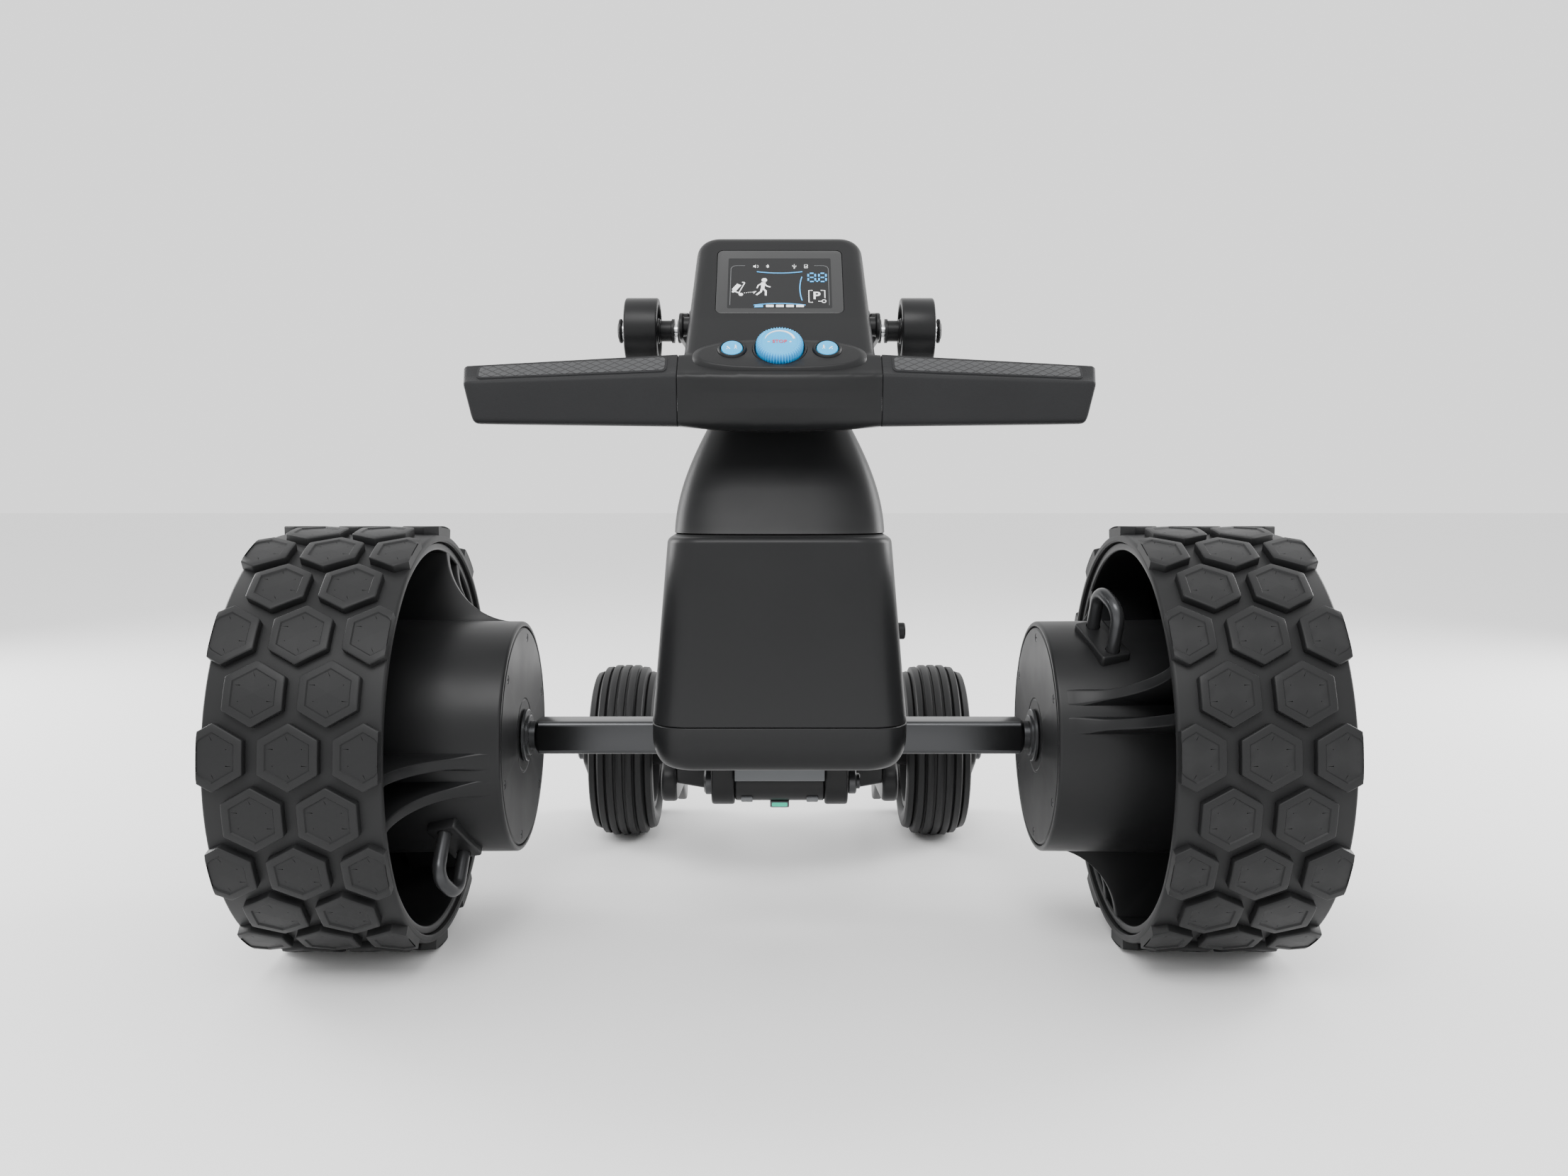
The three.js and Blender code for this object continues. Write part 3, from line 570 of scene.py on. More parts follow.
# %% Lofts and sweeps
def lofted(name, rings):
    clear()
    around = len(rings[0])
    bpy.ops.mesh.primitive_grid_add(x_subdivisions=around, y_subdivisions=len(rings) - 1)
    piece = bpy.context.object
    piece.name = name
    for index, corner in enumerate(piece.data.vertices):
        row, column = divmod(index, around + 1)
        corner.co = Vector(rings[row][column % around]) * MM
    tidy_mesh(piece)
    edit(piece)
    bpy.ops.mesh.fill_holes(sides=0)
    bpy.ops.mesh.normals_make_consistent(inside=False)
    leave()
    return piece


def rod(name, path, radius, around=16):
    """A round rod along a path in the y, z plane."""
    rings = []
    for index, point in enumerate(path):
        before, after = path[max(index - 1, 0)], path[min(index + 1, len(path) - 1)]
        along = (Vector(after) - Vector(before)).normalized()
        side = Vector((-along.y, along.x))
        ring = []
        for t in full_turn(around):
            out = radius * math.sin(t)
            ring.append((radius * math.cos(t), point[0] + side.x * out, point[1] + side.y * out))
        rings.append(ring)
    return lofted(name, rings)


def slide(piece, move):
    """Moves each vertex to where the rule sends it, in millimetres."""
    for vertex in piece.data.vertices:
        vertex.co = Vector(move(*(vertex.co / MM))) * MM
    piece.data.update()
    return piece


print("lofts ready")

# %% [markdown]
# ## Drive tyres
# Each tyre is a wide smooth band carrying hexagonal lugs with a shallow pocket in the middle.
# Rows of three and rows of two take turns, so the lugs stand in a honeycomb, and the outer lugs
# are trimmed at the tyre's shoulders. One lug is made flat: extruded, bevelled, inset twice to
# form the pocket, and only then rolled round the tyre. Lugs that reach over the shoulder have
# every point beyond it drawn back to one flat end, which needs no boolean.

# %% One tread lug
TYRE_BOX = (low("drive_tyre_right"), high("drive_tyre_right"))
TYRE_IN, TYRE_OUT = TYRE_BOX[0].x, TYRE_BOX[1].x
TYRE_MIDDLE, TYRE_HALF = (TYRE_IN + TYRE_OUT) / 2, (TYRE_OUT - TYRE_IN) / 2
TREAD_R = 156
CARCASS_R = 150
LUG_FLAT = 19.2
LUG_ROOT = 1.5
LUG_PITCH = 47.4
ROWS = 24
FIRST_ROW = 6.7


def divided(corners, parts=4):
    points = []
    for here, after in zip(corners, corners[1:] + corners[:1]):
        for step in range(parts):
            points.append(Vector(here).lerp(Vector(after), step / parts)[:])
    return points


def lug(across):
    point = LUG_FLAT / math.cos(math.pi / 6)
    corners = [(point * math.cos(t), across + point * math.sin(t))
               for t in (math.radians(60 * i) for i in range(6))]
    piece = outline("lug", [(x, y, -LUG_ROOT) for x, y in divided(corners)])
    edit(piece)
    rise = (TREAD_R - CARCASS_R + LUG_ROOT) * MM
    bpy.ops.mesh.extrude_region_move(TRANSFORM_OT_translate={"value": (0, 0, rise)})
    leave()
    tidy_mesh(piece)
    bevelled(piece, 1.1, 3)
    edit(piece, everything=False, kind="FACE")
    mesh = bmesh.from_edit_mesh(piece.data)
    top = max(mesh.faces, key=lambda face: face.calc_area() * face.normal.z)
    top.select = True
    bpy.ops.mesh.inset(thickness=3.9 * MM)
    bpy.ops.mesh.inset(thickness=0.8 * MM, depth=-0.9 * MM)
    bpy.ops.mesh.inset(thickness=4.5 * MM)
    bpy.ops.mesh.poke()
    leave()
    if abs(across) + LUG_FLAT > TYRE_HALF:
        trim = TYRE_HALF - 0.3
        slide(piece, lambda x, y, z: (x, max(-trim, min(trim, y)), z))
        edit(piece)
        bpy.ops.mesh.dissolve_degenerate(threshold=0.01 * MM)
        leave()
    return piece


def rolled(x, y, z):
    turn_by = x / TREAD_R
    radius = CARCASS_R + z
    return TYRE_MIDDLE + y, radius * math.sin(turn_by), radius * math.cos(turn_by)


lugs = {across: slide(lug(across * LUG_PITCH), rolled) for across in (-1, -0.5, 0, 0.5, 1)}
print("lug faces:", {across: len(piece.data.polygons) for across, piece in lugs.items()})

# %% [markdown]
# The band is turned from its section, with a rounded lip at both shoulders. The lugs are copied
# round it, one row every fifteen degrees, and joined to it so that the tyre is one moulding.


# %% The tyre
def drive_tyre():
    lip, wall = 2.2, 5.6
    bore_r, rim = CARCASS_R - wall, CARCASS_R
    profile = [(TYRE_IN + 1, bore_r), (TYRE_IN, bore_r + 1.2)]
    profile += arc(TYRE_IN + lip, rim - lip, lip, 180, 90, 4)
    profile += arc(TYRE_OUT - lip, rim - lip, lip, 90, 0, 4)
    profile += [(TYRE_OUT, bore_r + 1.2), (TYRE_OUT - 1, bore_r)]
    band = turned("drive_tyre", profile, steps=144, closed=True)
    rows = []
    for row in range(ROWS):
        for across in ((-0.5, 0.5) if row % 2 else (-1, 0, 1)):
            block = twin(lugs[across], "block")
            place(block, at_angle(FIRST_ROW + 360 / ROWS * row))
            rows.append(block)
    return smooth(join("drive_tyre", band, *rows), 32)


right_tyre = drive_tyre()
right_tyre.name = "right_drive_tyre"
left_tyre = mirrored(right_tyre, "left_drive_tyre")
for side, tyre in (("right", right_tyre), ("left", left_tyre)):
    place(tyre, shift(AXLE))
    hand_over(tyre, TREAD, f"drive_wheel_{side}", f"drive_tyre_{side}")
discard(*lugs.values())
print("tyre faces:", len(right_tyre.data.polygons))

# %% [markdown]
# ## Drive rims
# The rim is one casting: a drum that houses the motor, three pairs of trumpet-shaped fins that
# sweep out from the drum's mouth to the tyre's inner edge, and a barrel that carries the tyre.
# The drum and barrel are turned from one section. A fin is extruded from its side view and then
# widened where it runs into the drum and the barrel, as cast ribs are.

# %% Rim, fins and the pad of the pull loop
DRUM_R = 85
DRUM_IN = low("drive_rim_right").x
RIM_R = 144.1
BARREL_IN = TYRE_IN + 3
WEB = (335, 345)
FIN_LEAD = {"right": 22.9, "left": 7.2}
FIN_SPLAY = 6.6
FIN_HALF = 3.8
PAD_X, PAD_TOP = 229, DRUM_R + 4.5
LOOP_LEAD, LOOP_SKEW, LOOP_HALF, LOOP_ROD = 39, 15, 15, 4.7


def rim_body():
    lip_in = RIM_R - 6
    mouth = arc(DRUM_IN + 2.5, DRUM_R - 2.2, 2.2, 180, 90, 4)
    profile = [(DRUM_IN + 5.5, 81), (DRUM_IN + 0.8, 81), (DRUM_IN + 0.3, 81.6), *mouth,
               (240, DRUM_R + 0.3), (300, DRUM_R + 1.5), (WEB[0] - 8, DRUM_R + 3),
               *arc(WEB[0] - 8, DRUM_R + 9, 6, -90, 0, 4), (WEB[0] - 2, lip_in - 6),
               *arc(WEB[0] - 8, lip_in - 6, 6, 0, 90, 4), (BARREL_IN + 4, lip_in),
               *arc(BARREL_IN + 1.6, lip_in + 1.6, 1.6, -90, -180, 3),
               *arc(BARREL_IN + 1.6, RIM_R - 1.6, 1.6, 180, 90, 3),
               (TYRE_OUT - 4.6, RIM_R), *arc(TYRE_OUT - 4.6, RIM_R - 1.6, 1.6, 90, 0, 3),
               (TYRE_OUT - 3, lip_in + 1), (TYRE_OUT - 4, lip_in), (WEB[1] + 5, lip_in),
               *arc(WEB[1] + 5, lip_in - 5, 5, 90, 180, 4), (WEB[1], 19.7), (WEB[0], 19.7),
               (WEB[0], 76), (DRUM_IN + 5.5, 76)]
    return turned("rim", profile, steps=128, closed=True)


def fin():
    x0, x1 = DRUM_IN + 6.5, BARREL_IN + 0.5
    rise, run = RIM_R - 1 - DRUM_R, x1 - x0
    edge = [(x0 + run * math.sin(t), RIM_R - 1 - rise * math.cos(t))
            for t in (math.pi / 2 * i / 18 for i in range(19))]
    side = [*edge, (300, RIM_R - 2), (300, DRUM_R - 2), (x0, DRUM_R - 2)]
    piece = plate("fin", [(x, -FIN_HALF, z) for x, z in side], (0, 2 * FIN_HALF, 0))
    bevelled(piece, 2.6, 4)

    def flare(x, y, z):
        near_drum = max(0, 1 - (z - DRUM_R + 2) / 9)
        near_barrel = max(0, 1 - (RIM_R - z) / 12)
        return x, y * (1 + 0.9 * near_drum ** 2 + 0.9 * near_barrel ** 2), z
    return slide(piece, flare)


def loop_pad():
    piece = plate_z("pad", rounded(-11, 11, -22, 22, 2, 3), DRUM_R - 4, PAD_TOP)
    soften(piece, 1.4, 3)
    return place(piece, at_angle(LOOP_LEAD), shift(PAD_X, 0, 0), turn(LOOP_SKEW, "Z"))


one_fin = fin()
fins = []
for pair in range(3):
    for splay in (-FIN_SPLAY, FIN_SPLAY):
        fins.append(place(twin(one_fin, "fin_copy"), at_angle(120 * pair + splay)))
discard(one_fin)
holes = [peg(32, LOOP_ROD + 0.4, 18, at_angle(LOOP_LEAD), shift(PAD_X, 0, PAD_TOP),
             turn(LOOP_SKEW, "Z"), shift(0, leg, 0)) for leg in (-LOOP_HALF, LOOP_HALF)]
pad = carve(loop_pad(), join("leg_holes", *holes))
rim = smooth(join("rim", rim_body(), *fins, pad), 35)
for side in ("right", "left"):
    piece = place(twin(rim, f"{side}_drive_rim"), *on_axle(side), turn(-FIN_LEAD[side], "X"))
    hand_over(piece, SHELL, f"drive_wheel_{side}", f"drive_rim_{side}")
discard(rim)
print("rims placed")

# %% [markdown]
# A pull loop sits beside one pair of fins. Pulling it frees the wheel from its axle. It is a
# bent rod, so it is swept: a ring of points follows a path with two rounded corners.


# %% Pull loops
def loop_path():
    half, bend = LOOP_HALF, 11
    top = PAD_TOP + 37 - LOOP_ROD
    return ([(-half, 79), (-half, PAD_TOP + 4)] + arc(-half + bend, top - bend, bend, 180, 90, 8)
            + arc(half - bend, top - bend, bend, 90, 0, 8) + [(half, PAD_TOP + 4), (half, 79)])


for side in ("right", "left"):
    loop = rod(f"{side}_pull_loop", loop_path(), LOOP_ROD, 20)
    smooth(loop, 40)
    place(loop, *on_axle(side), turn(-FIN_LEAD[side], "X"), at_angle(LOOP_LEAD),
          shift(PAD_X, 0, 0), turn(LOOP_SKEW, "Z"))
    hand_over(loop, SATIN, f"pull_loop_{side}", f"pull_loop_{side}")
print("pull loops placed")

# %% [markdown]
# The drum's mouth is closed by a flat cover held by six small screws with cross recesses. One
# screw is made and copied. Its recess is cut by two bars at right angles, one after the other.

# %% Hub covers, screws, collars and wheel caps
COVER_R = 80.6
COVER_LEAD = 21
SCREWS, SCREW_RING = 6, 73
COVER_X = low("hub_cover_right").x


def hub_cover():
    face = COVER_X
    profile = [(face + 5, 10.6), (face + 0.6, 10.6), (face, 11.4), (face, 26), (face + 0.5, 26.6),
               (face + 0.5, 27.4), (face, 28), (face, COVER_R - 1.6), (face + 0.9, COVER_R - 0.4),
               (face + 1.4, COVER_R), (face + 5, COVER_R)]
    cover = turned("hub_cover", profile, steps=96, closed=True)
    wells = [peg(24, 3.1, 2, turn(360 / SCREWS * index, "X"), shift(face, 0, SCREW_RING),
                 turn(90, "Y")) for index in range(SCREWS)]
    return smooth(carve(cover, join("wells", *wells)), 30)


def cross_screw():
    head = peg(32, 2.8, 1.6)
    for angle in (0, 90):
        bpy.ops.mesh.primitive_cube_add(size=1)
        bar = place(bpy.context.object, turn(angle, "Z"), shift(0, 0, 0.6),
                    Matrix.Diagonal((3.4 * MM, 0.8 * MM, 1 * MM, 1)))
        carve(head, bar)
    soften(head, 0.3, 2, 40)
    return place(head, turn(-90, "Y"))


def collar():
    profile = [(185.6, 10.3), (185.6, 14.4), (186, 15), (187.2, 15), (187.2, 18.6), (187.8, 19.4),
               (189.5, 19.4), (190, 18.9), (190, 10.3)]
    return smooth(turned("collar", profile, steps=64, closed=True), 30)


def wheel_cap():
    face = WEB[1] + 0.3
    profile = [(face, 0), (face, 44), *arc(347.5, 42.5, 1.5, 90, 0, 3), (350.2, 39), (352, 37),
               (352.6, 20), (353, 0)]
    return smooth(turned("wheel_cap", profile, steps=72), 30)


cover, screw, ring, cap = hub_cover(), cross_screw(), collar(), wheel_cap()
for side in ("right", "left"):
    cover_at = (*on_axle(side), turn(COVER_LEAD - FIN_LEAD[side], "X"))
    heads = [place(twin(screw, "head"), *cover_at, turn(360 / SCREWS * index, "X"),
                   shift(COVER_X + 1, 0, SCREW_RING), turn(20 * index, "X"))
             for index in range(SCREWS)]
    heads = join(f"{side}_hub_screws", *heads)
    hand_over(heads, SATIN, f"drive_wheel_{side}")
    piece = place(twin(cover, f"{side}_hub_cover"), *cover_at)
    hand_over(piece, DARK, f"drive_wheel_{side}", f"hub_cover_{side}")
    piece = place(twin(ring, f"{side}_axle_collar"), *on_axle(side))
    hand_over(piece, SATIN, "chassis", f"axle_collar_{side}")
    piece = place(twin(cap, f"{side}_wheel_cap"), *on_axle(side))
    hand_over(piece, DARK, f"drive_wheel_{side}", f"wheel_cap_{side}")
discard(cover, screw, ring, cap)
print("hubs closed")

# %% [markdown]
# ## Axle beam and battery box
# The beam is a square bar whose ends are machined round for the hubs. A rounded square and a
# circle can share the same number of points, so one loft carries the bar from one to the other.

# %% Axle beam
FROM_AXLE = shift(0, AXLE.y, 0)
BEAM_HALF, SHAFT_R = 12.2, 10
beam_steps = [(178, BEAM_HALF, 3.5), (180.5, 11.4, 9), (181.4, 10.6, 10.6), (185.3, 10.6, 10.6),
              (185.4, SHAFT_R, SHAFT_R), (344, SHAFT_R, SHAFT_R)]
beam_steps = [(-x, h, r) for x, h, r in reversed(beam_steps)] + beam_steps
axle_beam = lofted("axle_bar", [[(x, a, b) for a, b in rounded(-h, h, -h, h, r, 6)]
                                for x, h, r in beam_steps])
place(smooth(axle_beam, 28), shift(AXLE))
hand_over(axle_beam, BEAM_METAL, "chassis", "axle_beam")
print("beam length", axle_beam.dimensions.x / MM)

# %% [markdown]
# The battery box is two mouldings that meet at a thin seam: a tray with a round belly, which the
# axle passes through, and a tall cover that narrows towards its top. Both are lofts of rounded
# rectangles. A second, smaller loft is cut out of the cover to leave a three millimetre wall.

# %% Battery box
BOX_REAR, BOX_FRONT = low("rear_cover").y - AXLE.y, high("rear_cover").y - AXLE.y
TRAY_LOW, SEAM, BOX_TOP = low("base_tray").z, low("rear_cover").z, high("rear_cover").z
BOX_HALF_LOW, BOX_HALF_TOP = high("rear_cover").x, 79
BOX_CORNER, BOX_WALL, TOP_ROUND = 26, 3, 4.5
BELLY_HIGH, BELLY_IN = 24, 13
POWER_Y, POWER_Z = -20, 237


def box_ring(z, inset):
    up = max(0, (z - SEAM) / (BOX_TOP - SEAM))
    half = BOX_HALF_LOW + (BOX_HALF_TOP - BOX_HALF_LOW) * up - inset
    plan = rounded(-half, half, BOX_REAR + inset, BOX_FRONT - inset, BOX_CORNER - inset * 0.5, 10)
    return [(x, y, z) for x, y in plan]


def belly(z):
    up = min(1, (z - TRAY_LOW) / BELLY_HIGH)
    return BELLY_IN * (1 - math.sqrt(1 - (1 - up) ** 2))


tray_heights = [TRAY_LOW + BELLY_HIGH * (i / 12) ** 2 for i in range(13)]
tray_rings = [box_ring(z, belly(z)) for z in tray_heights]
tray_rings += [box_ring(SEAM - 1.1, 0), box_ring(SEAM - 0.5, 0.5)]
tray = lofted("box_tray", tray_rings)
bar = plate_x("slot", [(y, z) for y, z in rounded(-12.9, 12.9, 143.1, 168.9, 4, 4)], -120, 120)
smooth(carve(tray, bar), 30)
place(tray, FROM_AXLE)
hand_over(tray, SHELL, "chassis", "base_tray")

top_edge = [(BOX_TOP - TOP_ROUND + TOP_ROUND * math.sin(t), TOP_ROUND * (1 - math.cos(t)))
            for t in (math.radians(15 * i) for i in range(7))]
cover_rings = [box_ring(SEAM, 0.6), box_ring(SEAM + 0.7, 0), box_ring(240, 0)]
cover_rings += [box_ring(z, inset) for z, inset in top_edge]
cover = lofted("box_cover", cover_rings)
room = lofted("room", [box_ring(SEAM - 2, BOX_WALL), box_ring(BOX_TOP - BOX_WALL, BOX_WALL)])
carve(cover, room)
hole = peg(48, 6.7, 30, shift(86, POWER_Y, POWER_Z), turn(90, "Y"))
smooth(carve(cover, hole), 30)
place(cover, FROM_AXLE)
hand_over(cover, SHELL, "chassis", "rear_cover")

power = turned("power_cap", [(77, 0), (77, 8.3), (78.5, 8.3), (78.5, 6.1),
                             *arc(89.6, 4.7, 1.4, 90, 0, 4), (91, 0)], steps=48)
place(smooth(power, 35), FROM_AXLE, shift(0, POWER_Y, POWER_Z))
hand_over(power, DARK, "power_button", "power_button")
print("box faces", len(cover.data.polygons))

# %% [markdown]
# ## Neck
# The neck grows out of the top of the box and leans forward as it narrows to the fold joint of
# the handle. Its section is a squarish oval with a faint parting ridge down the middle.

# %% Neck shell and head
NECK_LOW, NECK_HIGH = low("neck_shell").z, high("neck_shell").z
LEAN = (ROLLER_AXLE.y - AXLE.y - 2) / (ROLLER_AXLE.z - NECK_LOW)


def neck_ring(z, inset=0):
    down = (NECK_HIGH - z) / (NECK_HIGH - NECK_LOW)
    half = 30 + 47 * math.sin(max(0, down) * math.pi / 2) ** 1.25 - inset
    depth = 18 + 15 * down - inset
    ring = []
    for step, t in enumerate(full_turn(72)):
        across = half * squared(math.cos(t), 0.66)
        ridge = 0.5 if step in (18, 54) else 0
        through = (depth + ridge) * squared(math.sin(t), 0.66)
        ring.append((across, through + 2 + (z - NECK_LOW) * LEAN, z))
    return ring


heights = [NECK_LOW + (NECK_HIGH - NECK_LOW) * i / 28 for i in range(29)]
neck = lofted("neck", [neck_ring(NECK_LOW, 1), neck_ring(NECK_LOW + 0.6)]
              + [neck_ring(z) for z in heights[1:]] + [neck_ring(NECK_HIGH + 0.5, 1.5)])
place(smooth(neck, 50), FROM_AXLE)
hand_over(neck, SHELL, "chassis", "neck_shell")

barrel = turned("neck_barrel", [(-70.8, 5.6), (-70.8, 15.2), (-70, 16), (70, 16), (70.8, 15.2),
                                (70.8, 5.6)], steps=64, closed=True)
place(barrel, shift(ROLLER_AXLE))
stem_rings = []
for z in (NECK_HIGH - 15, ROLLER_AXLE.z - 4):
    lean = 2 + (z - NECK_LOW) * LEAN + AXLE.y
    stem_rings.append([(x, y + lean, z) for x, y in rounded(-25, 25, -11, 11, 4, 4)])
head = smooth(join("neck_joint", barrel, lofted("stem", stem_rings)), 35)
hand_over(head, SATIN, "chassis", "neck_head")
print("neck faces", len(neck.data.polygons))

# %% [markdown]
# ## Roller axle
# A steel axle crosses behind the console. The handle folds about it, and two spoked rollers turn
# on its ends, so that the folded trolley can be rolled on them. Black sleeves keep the rollers
# away from the handle, and flanged ends keep them on.


# %% Axle, sleeves and rollers
def both_ways(half):
    return [(-x, r) for x, r in reversed(half)] + half


pin = turned("roller_pin", both_ways([(72, 5.3), (120.7, 5.3), (120.9, 6.5), (123.2, 6.5)]), steps=48)
place(smooth(pin, 30), shift(ROLLER_AXLE))
hand_over(pin, STEEL, "chassis", "roller_axle")

button_profile = [(122.6, 0), (122.6, 5), (123.6, 5.2), (123.6, 8.6), (124.2, 9.5), (125.4, 9.5),
                  (126, 8.8), (126.2, 6.4), (126.8, 6.2), (126.8, 0)]
sleeve_profile = [(82.5, 5.6), (82.5, 9.4), (84.6, 9.4), (85, 8.2), (93.2, 8.2), (93.6, 9.2),
                  (94.3, 9.2), (94.3, 5.6)]
ends = turned("pin_end_right", button_profile, steps=48)
sleeve = turned("axle_sleeve_r", sleeve_profile, steps=48, closed=True)


def roller():
    x0, x1, rim_r = low("roller_right").x, high("roller_right").x, 25.5
    tread = [(x0, rim_r - 4.6), (x0, rim_r - 1.6), *arc(x0 + 1.6, rim_r - 1.6, 1.6, 180, 90, 4)[1:],
             *arc(x1 - 1.6, rim_r - 1.6, 1.6, 90, 0, 4), (x1, rim_r - 4.6),
             (x1 - 1, rim_r - 5), (x0 + 1, rim_r - 5)]
    hub = [(x0, 5.6), (x0, 9.4), (x0 + 0.6, 10), (x1 - 0.6, 10), (x1, 9.4), (x1, 5.6)]
    parts = [turned("tread", tread, 64, closed=True), turned("hub", hub, 48, closed=True)]
    for index in range(5):
        spoke = plate_x("spoke", rounded(-2, 2, 9, rim_r - 4, 0.8, 2), x0 + 3, x1 - 3)
        soften(spoke, 0.7, 2)
        parts.append(place(spoke, turn(72 * index + 18, "X")))
    return smooth(join("roller_right", *parts), 32)


wheel = roller()
for side in ("right", "left"):
    side_of = on_axle(side, ROLLER_AXLE)
    piece = place(twin(smooth(ends, 30), f"{side}_pin_end"), *side_of)
    hand_over(piece, DARK, "chassis")
    piece = place(twin(smooth(sleeve, 30), f"{side}_axle_sleeve"), *side_of)
    hand_over(piece, DARK, "chassis", f"axle_sleeve_{side}")
    piece = place(twin(wheel, f"{side}_roller"), *side_of)
    hand_over(piece, SHELL, f"roller_{side}", f"roller_{side}")
discard(ends, sleeve, wheel)
print("roller axle done")

# %% [markdown]
# ## Underside and front frame
# Two hanger plates below the box hold a long hinge bolt. The front frame turns on it: a barrel
# with a tongue, a cross beam that sags like a smile, and a swinging fork for each front wheel.

# %% Hangers, bolt, cross plate and sensor
HANGER_TOP = TRAY_LOW - 0.3
flank = [(FOLD.y + 18, HANGER_TOP), *reversed(arc(FOLD.y, FOLD.z, 18, 180, 360, 18)),
         (FOLD.y - 18, HANGER_TOP)]
hanger = plate_x("right_hanger", flank, 35, 53)
soften(hanger, 2, 3, 50)
hand_over_pair(hanger, "left_hanger", DARK, "chassis", "hanger")

bolt_profile = [(-59, 0), (-59, 8.4), (-57.4, 10.5), (-53.4, 10.5), (-53.3, 6), (53.3, 6),
                (53.4, 9), (54.4, 10), (59, 10), (60, 9), (60, 6), (62.4, 6), (63, 5.4), (63, 0)]
bolt = turned("long_bolt", bolt_profile, steps=48)
place(smooth(bolt, 30), shift(FOLD))
hand_over(bolt, SATIN, "chassis", "hinge_bolt")

plate_low, plate_high = low("cross_plate"), high("cross_plate")
brace = plate_x("brace_plate", rounded(plate_low.y, plate_high.y, plate_low.z, plate_high.z, 1, 2),
                plate_low.x, plate_high.x)
soften(brace, 0.5, 2)
hand_over(brace, PLATE_GREY, "chassis", "cross_plate")

sensor_low, sensor_high = low("under_sensor"), high("under_sensor")
body = plate_z("sensor_body", rounded(-7.5, 7.5, sensor_low.y, sensor_high.y, 1.5, 3),
               sensor_low.z, sensor_high.z)
soften(body, 0.5, 2)
hand_over(body, PLATE_GREY, "front_frame", "under_sensor")
window = plate("sensor_window", [(x, sensor_low.y - 0.15, z) for x, z in
                                 rounded(-6, 6, sensor_low.z + 0.9, sensor_high.z - 0.9, 0.8, 3)],
               (0, 0.6, 0))
hand_over(window, GREEN_LIGHT, "front_frame")
print("underside done")

# %% [markdown]
# The cross member is a barrel, a tongue and a curved beam. The beam is a loft of rounded
# rectangles whose height follows a shallow curve. Three slots in the barrel let the grease out.

# %% Cross member
BEAM_Y = 96 + AXLE.y
ARM_IN, ARM_OUT = low("front_fork_right").x, 97


def beam_ring(x):
    along = x / ARM_IN
    sag = 88 + 18 * along ** 2 + 9 * (1 - along ** 2)
    return [(x, BEAM_Y + y, sag + z) for y, z in rounded(-10, 10, -9, 9, 4, 4)]


reach = ARM_IN - 0.3
beam = lofted("beam", [beam_ring(-reach + 2 * reach * i / 24) for i in range(25)])
barrel_half = 34.7
slotted = turned("barrel", [(-barrel_half, 6.4), (-barrel_half, 14), (-barrel_half + 1, 15),
                            (barrel_half - 1, 15), (barrel_half, 14), (barrel_half, 6.4)],
                 steps=64, closed=True)
for x in (-14, 0, 14):
    slot_cut = plate_z("slot_cut", rounded(x - 4.5, x + 4.5, -2, 2, 1.9, 5), -18, -12)
    place(slot_cut, turn(62, "X"))
    carve(slotted, slot_cut)
place(slotted, shift(FOLD))
tongue = plate_x("tongue", rounded(FOLD.y + 4, BEAM_Y, FOLD.z - 14, FOLD.z + 6, 4, 4), -30, 30)
soften(tongue, 1.5, 2)
member = smooth(join("cross_beam", slotted, tongue, beam), 32)
hand_over(member, SHELL, "front_frame", "cross_member")
for side, x in (("left", -25.5), ("right", 25.5)):
    pad = plate_z("pad", rounded(x - 4.5, x + 4.5, -4, 4, 1, 3), -16.2, -14.6)
    soften(pad, 0.4, 2)
    pad = place(pad, shift(FOLD), turn(-38, "X"))
    pad.name = f"{side}_barrel_pad"
    hand_over(pad, PLATE_GREY, "front_frame")
print("cross member done")

# %% [markdown]
# Each fork is an arm with round ends from the beam to the wheel axle, and two legs that go on
# ahead of the tyre to a round crown bar. `link` draws a plate between two round ends by joining
# two arcs along their common tangents.


# %% Front forks
def link(a, ra, b, rb, steps=14):
    along = math.degrees(math.atan2(b[1] - a[1], b[0] - a[0]))
    lean = math.degrees(math.acos((ra - rb) / math.dist(a, b)))
    return (arc(*a, ra, along + lean, along + 360 - lean, steps)
            + arc(*b, rb, along - lean, along + lean, steps))


HUB, HUB_R = (FRONT_AXLE.y, FRONT_AXLE.z), 17
CROWN, CROWN_R = (360 + AXLE.y, 24), 12
arm = soften(plate_x("arm", link(HUB, HUB_R, (BEAM_Y + 2, 97), HUB_R), ARM_IN, ARM_OUT), 3, 3, 50)
leg = link(HUB, HUB_R, CROWN, CROWN_R)
inner_leg = soften(plate_x("inner_leg", leg, 96, 106), 2.5, 3, 50)
outer_leg = soften(plate_x("outer_leg", leg, 181, 190), 3.5, 3, 50)
crown = turned("crown", [(97, 0), (97, 9), (189, 9), (189, 0)], steps=40)
place(crown, shift(0, *CROWN))
fork = smooth(join("right_fork", arm, inner_leg, outer_leg, crown), 35)
hand_over_pair(fork, "left_fork", SHELL, "front_frame", "front_fork")

spindle = turned("right_spindle", [(82, 0), (82, 5), (83, 6), (190.3, 6), (190.3, 9), (191, 10),
                                   (194, 10), (195.5, 8.2), (195.5, 3.5), (193.5, 3.2), (193.5, 0)],
                 steps=48)
place(smooth(spindle, 30), shift(FRONT_AXLE))
hand_over_pair(spindle, "left_spindle", SATIN, "front_frame", "front_axle")
print("forks done")

# %% [markdown]
# A front tyre has ribs round it. Its section is drawn point by point: a rib is a short step up
# and down, and the radius under it follows the tyre's crown.

# %% Front wheels
FRONT_R, FRONT_HALF, FRONT_X = 82, 30, 147
RIB_PITCH = 8.6


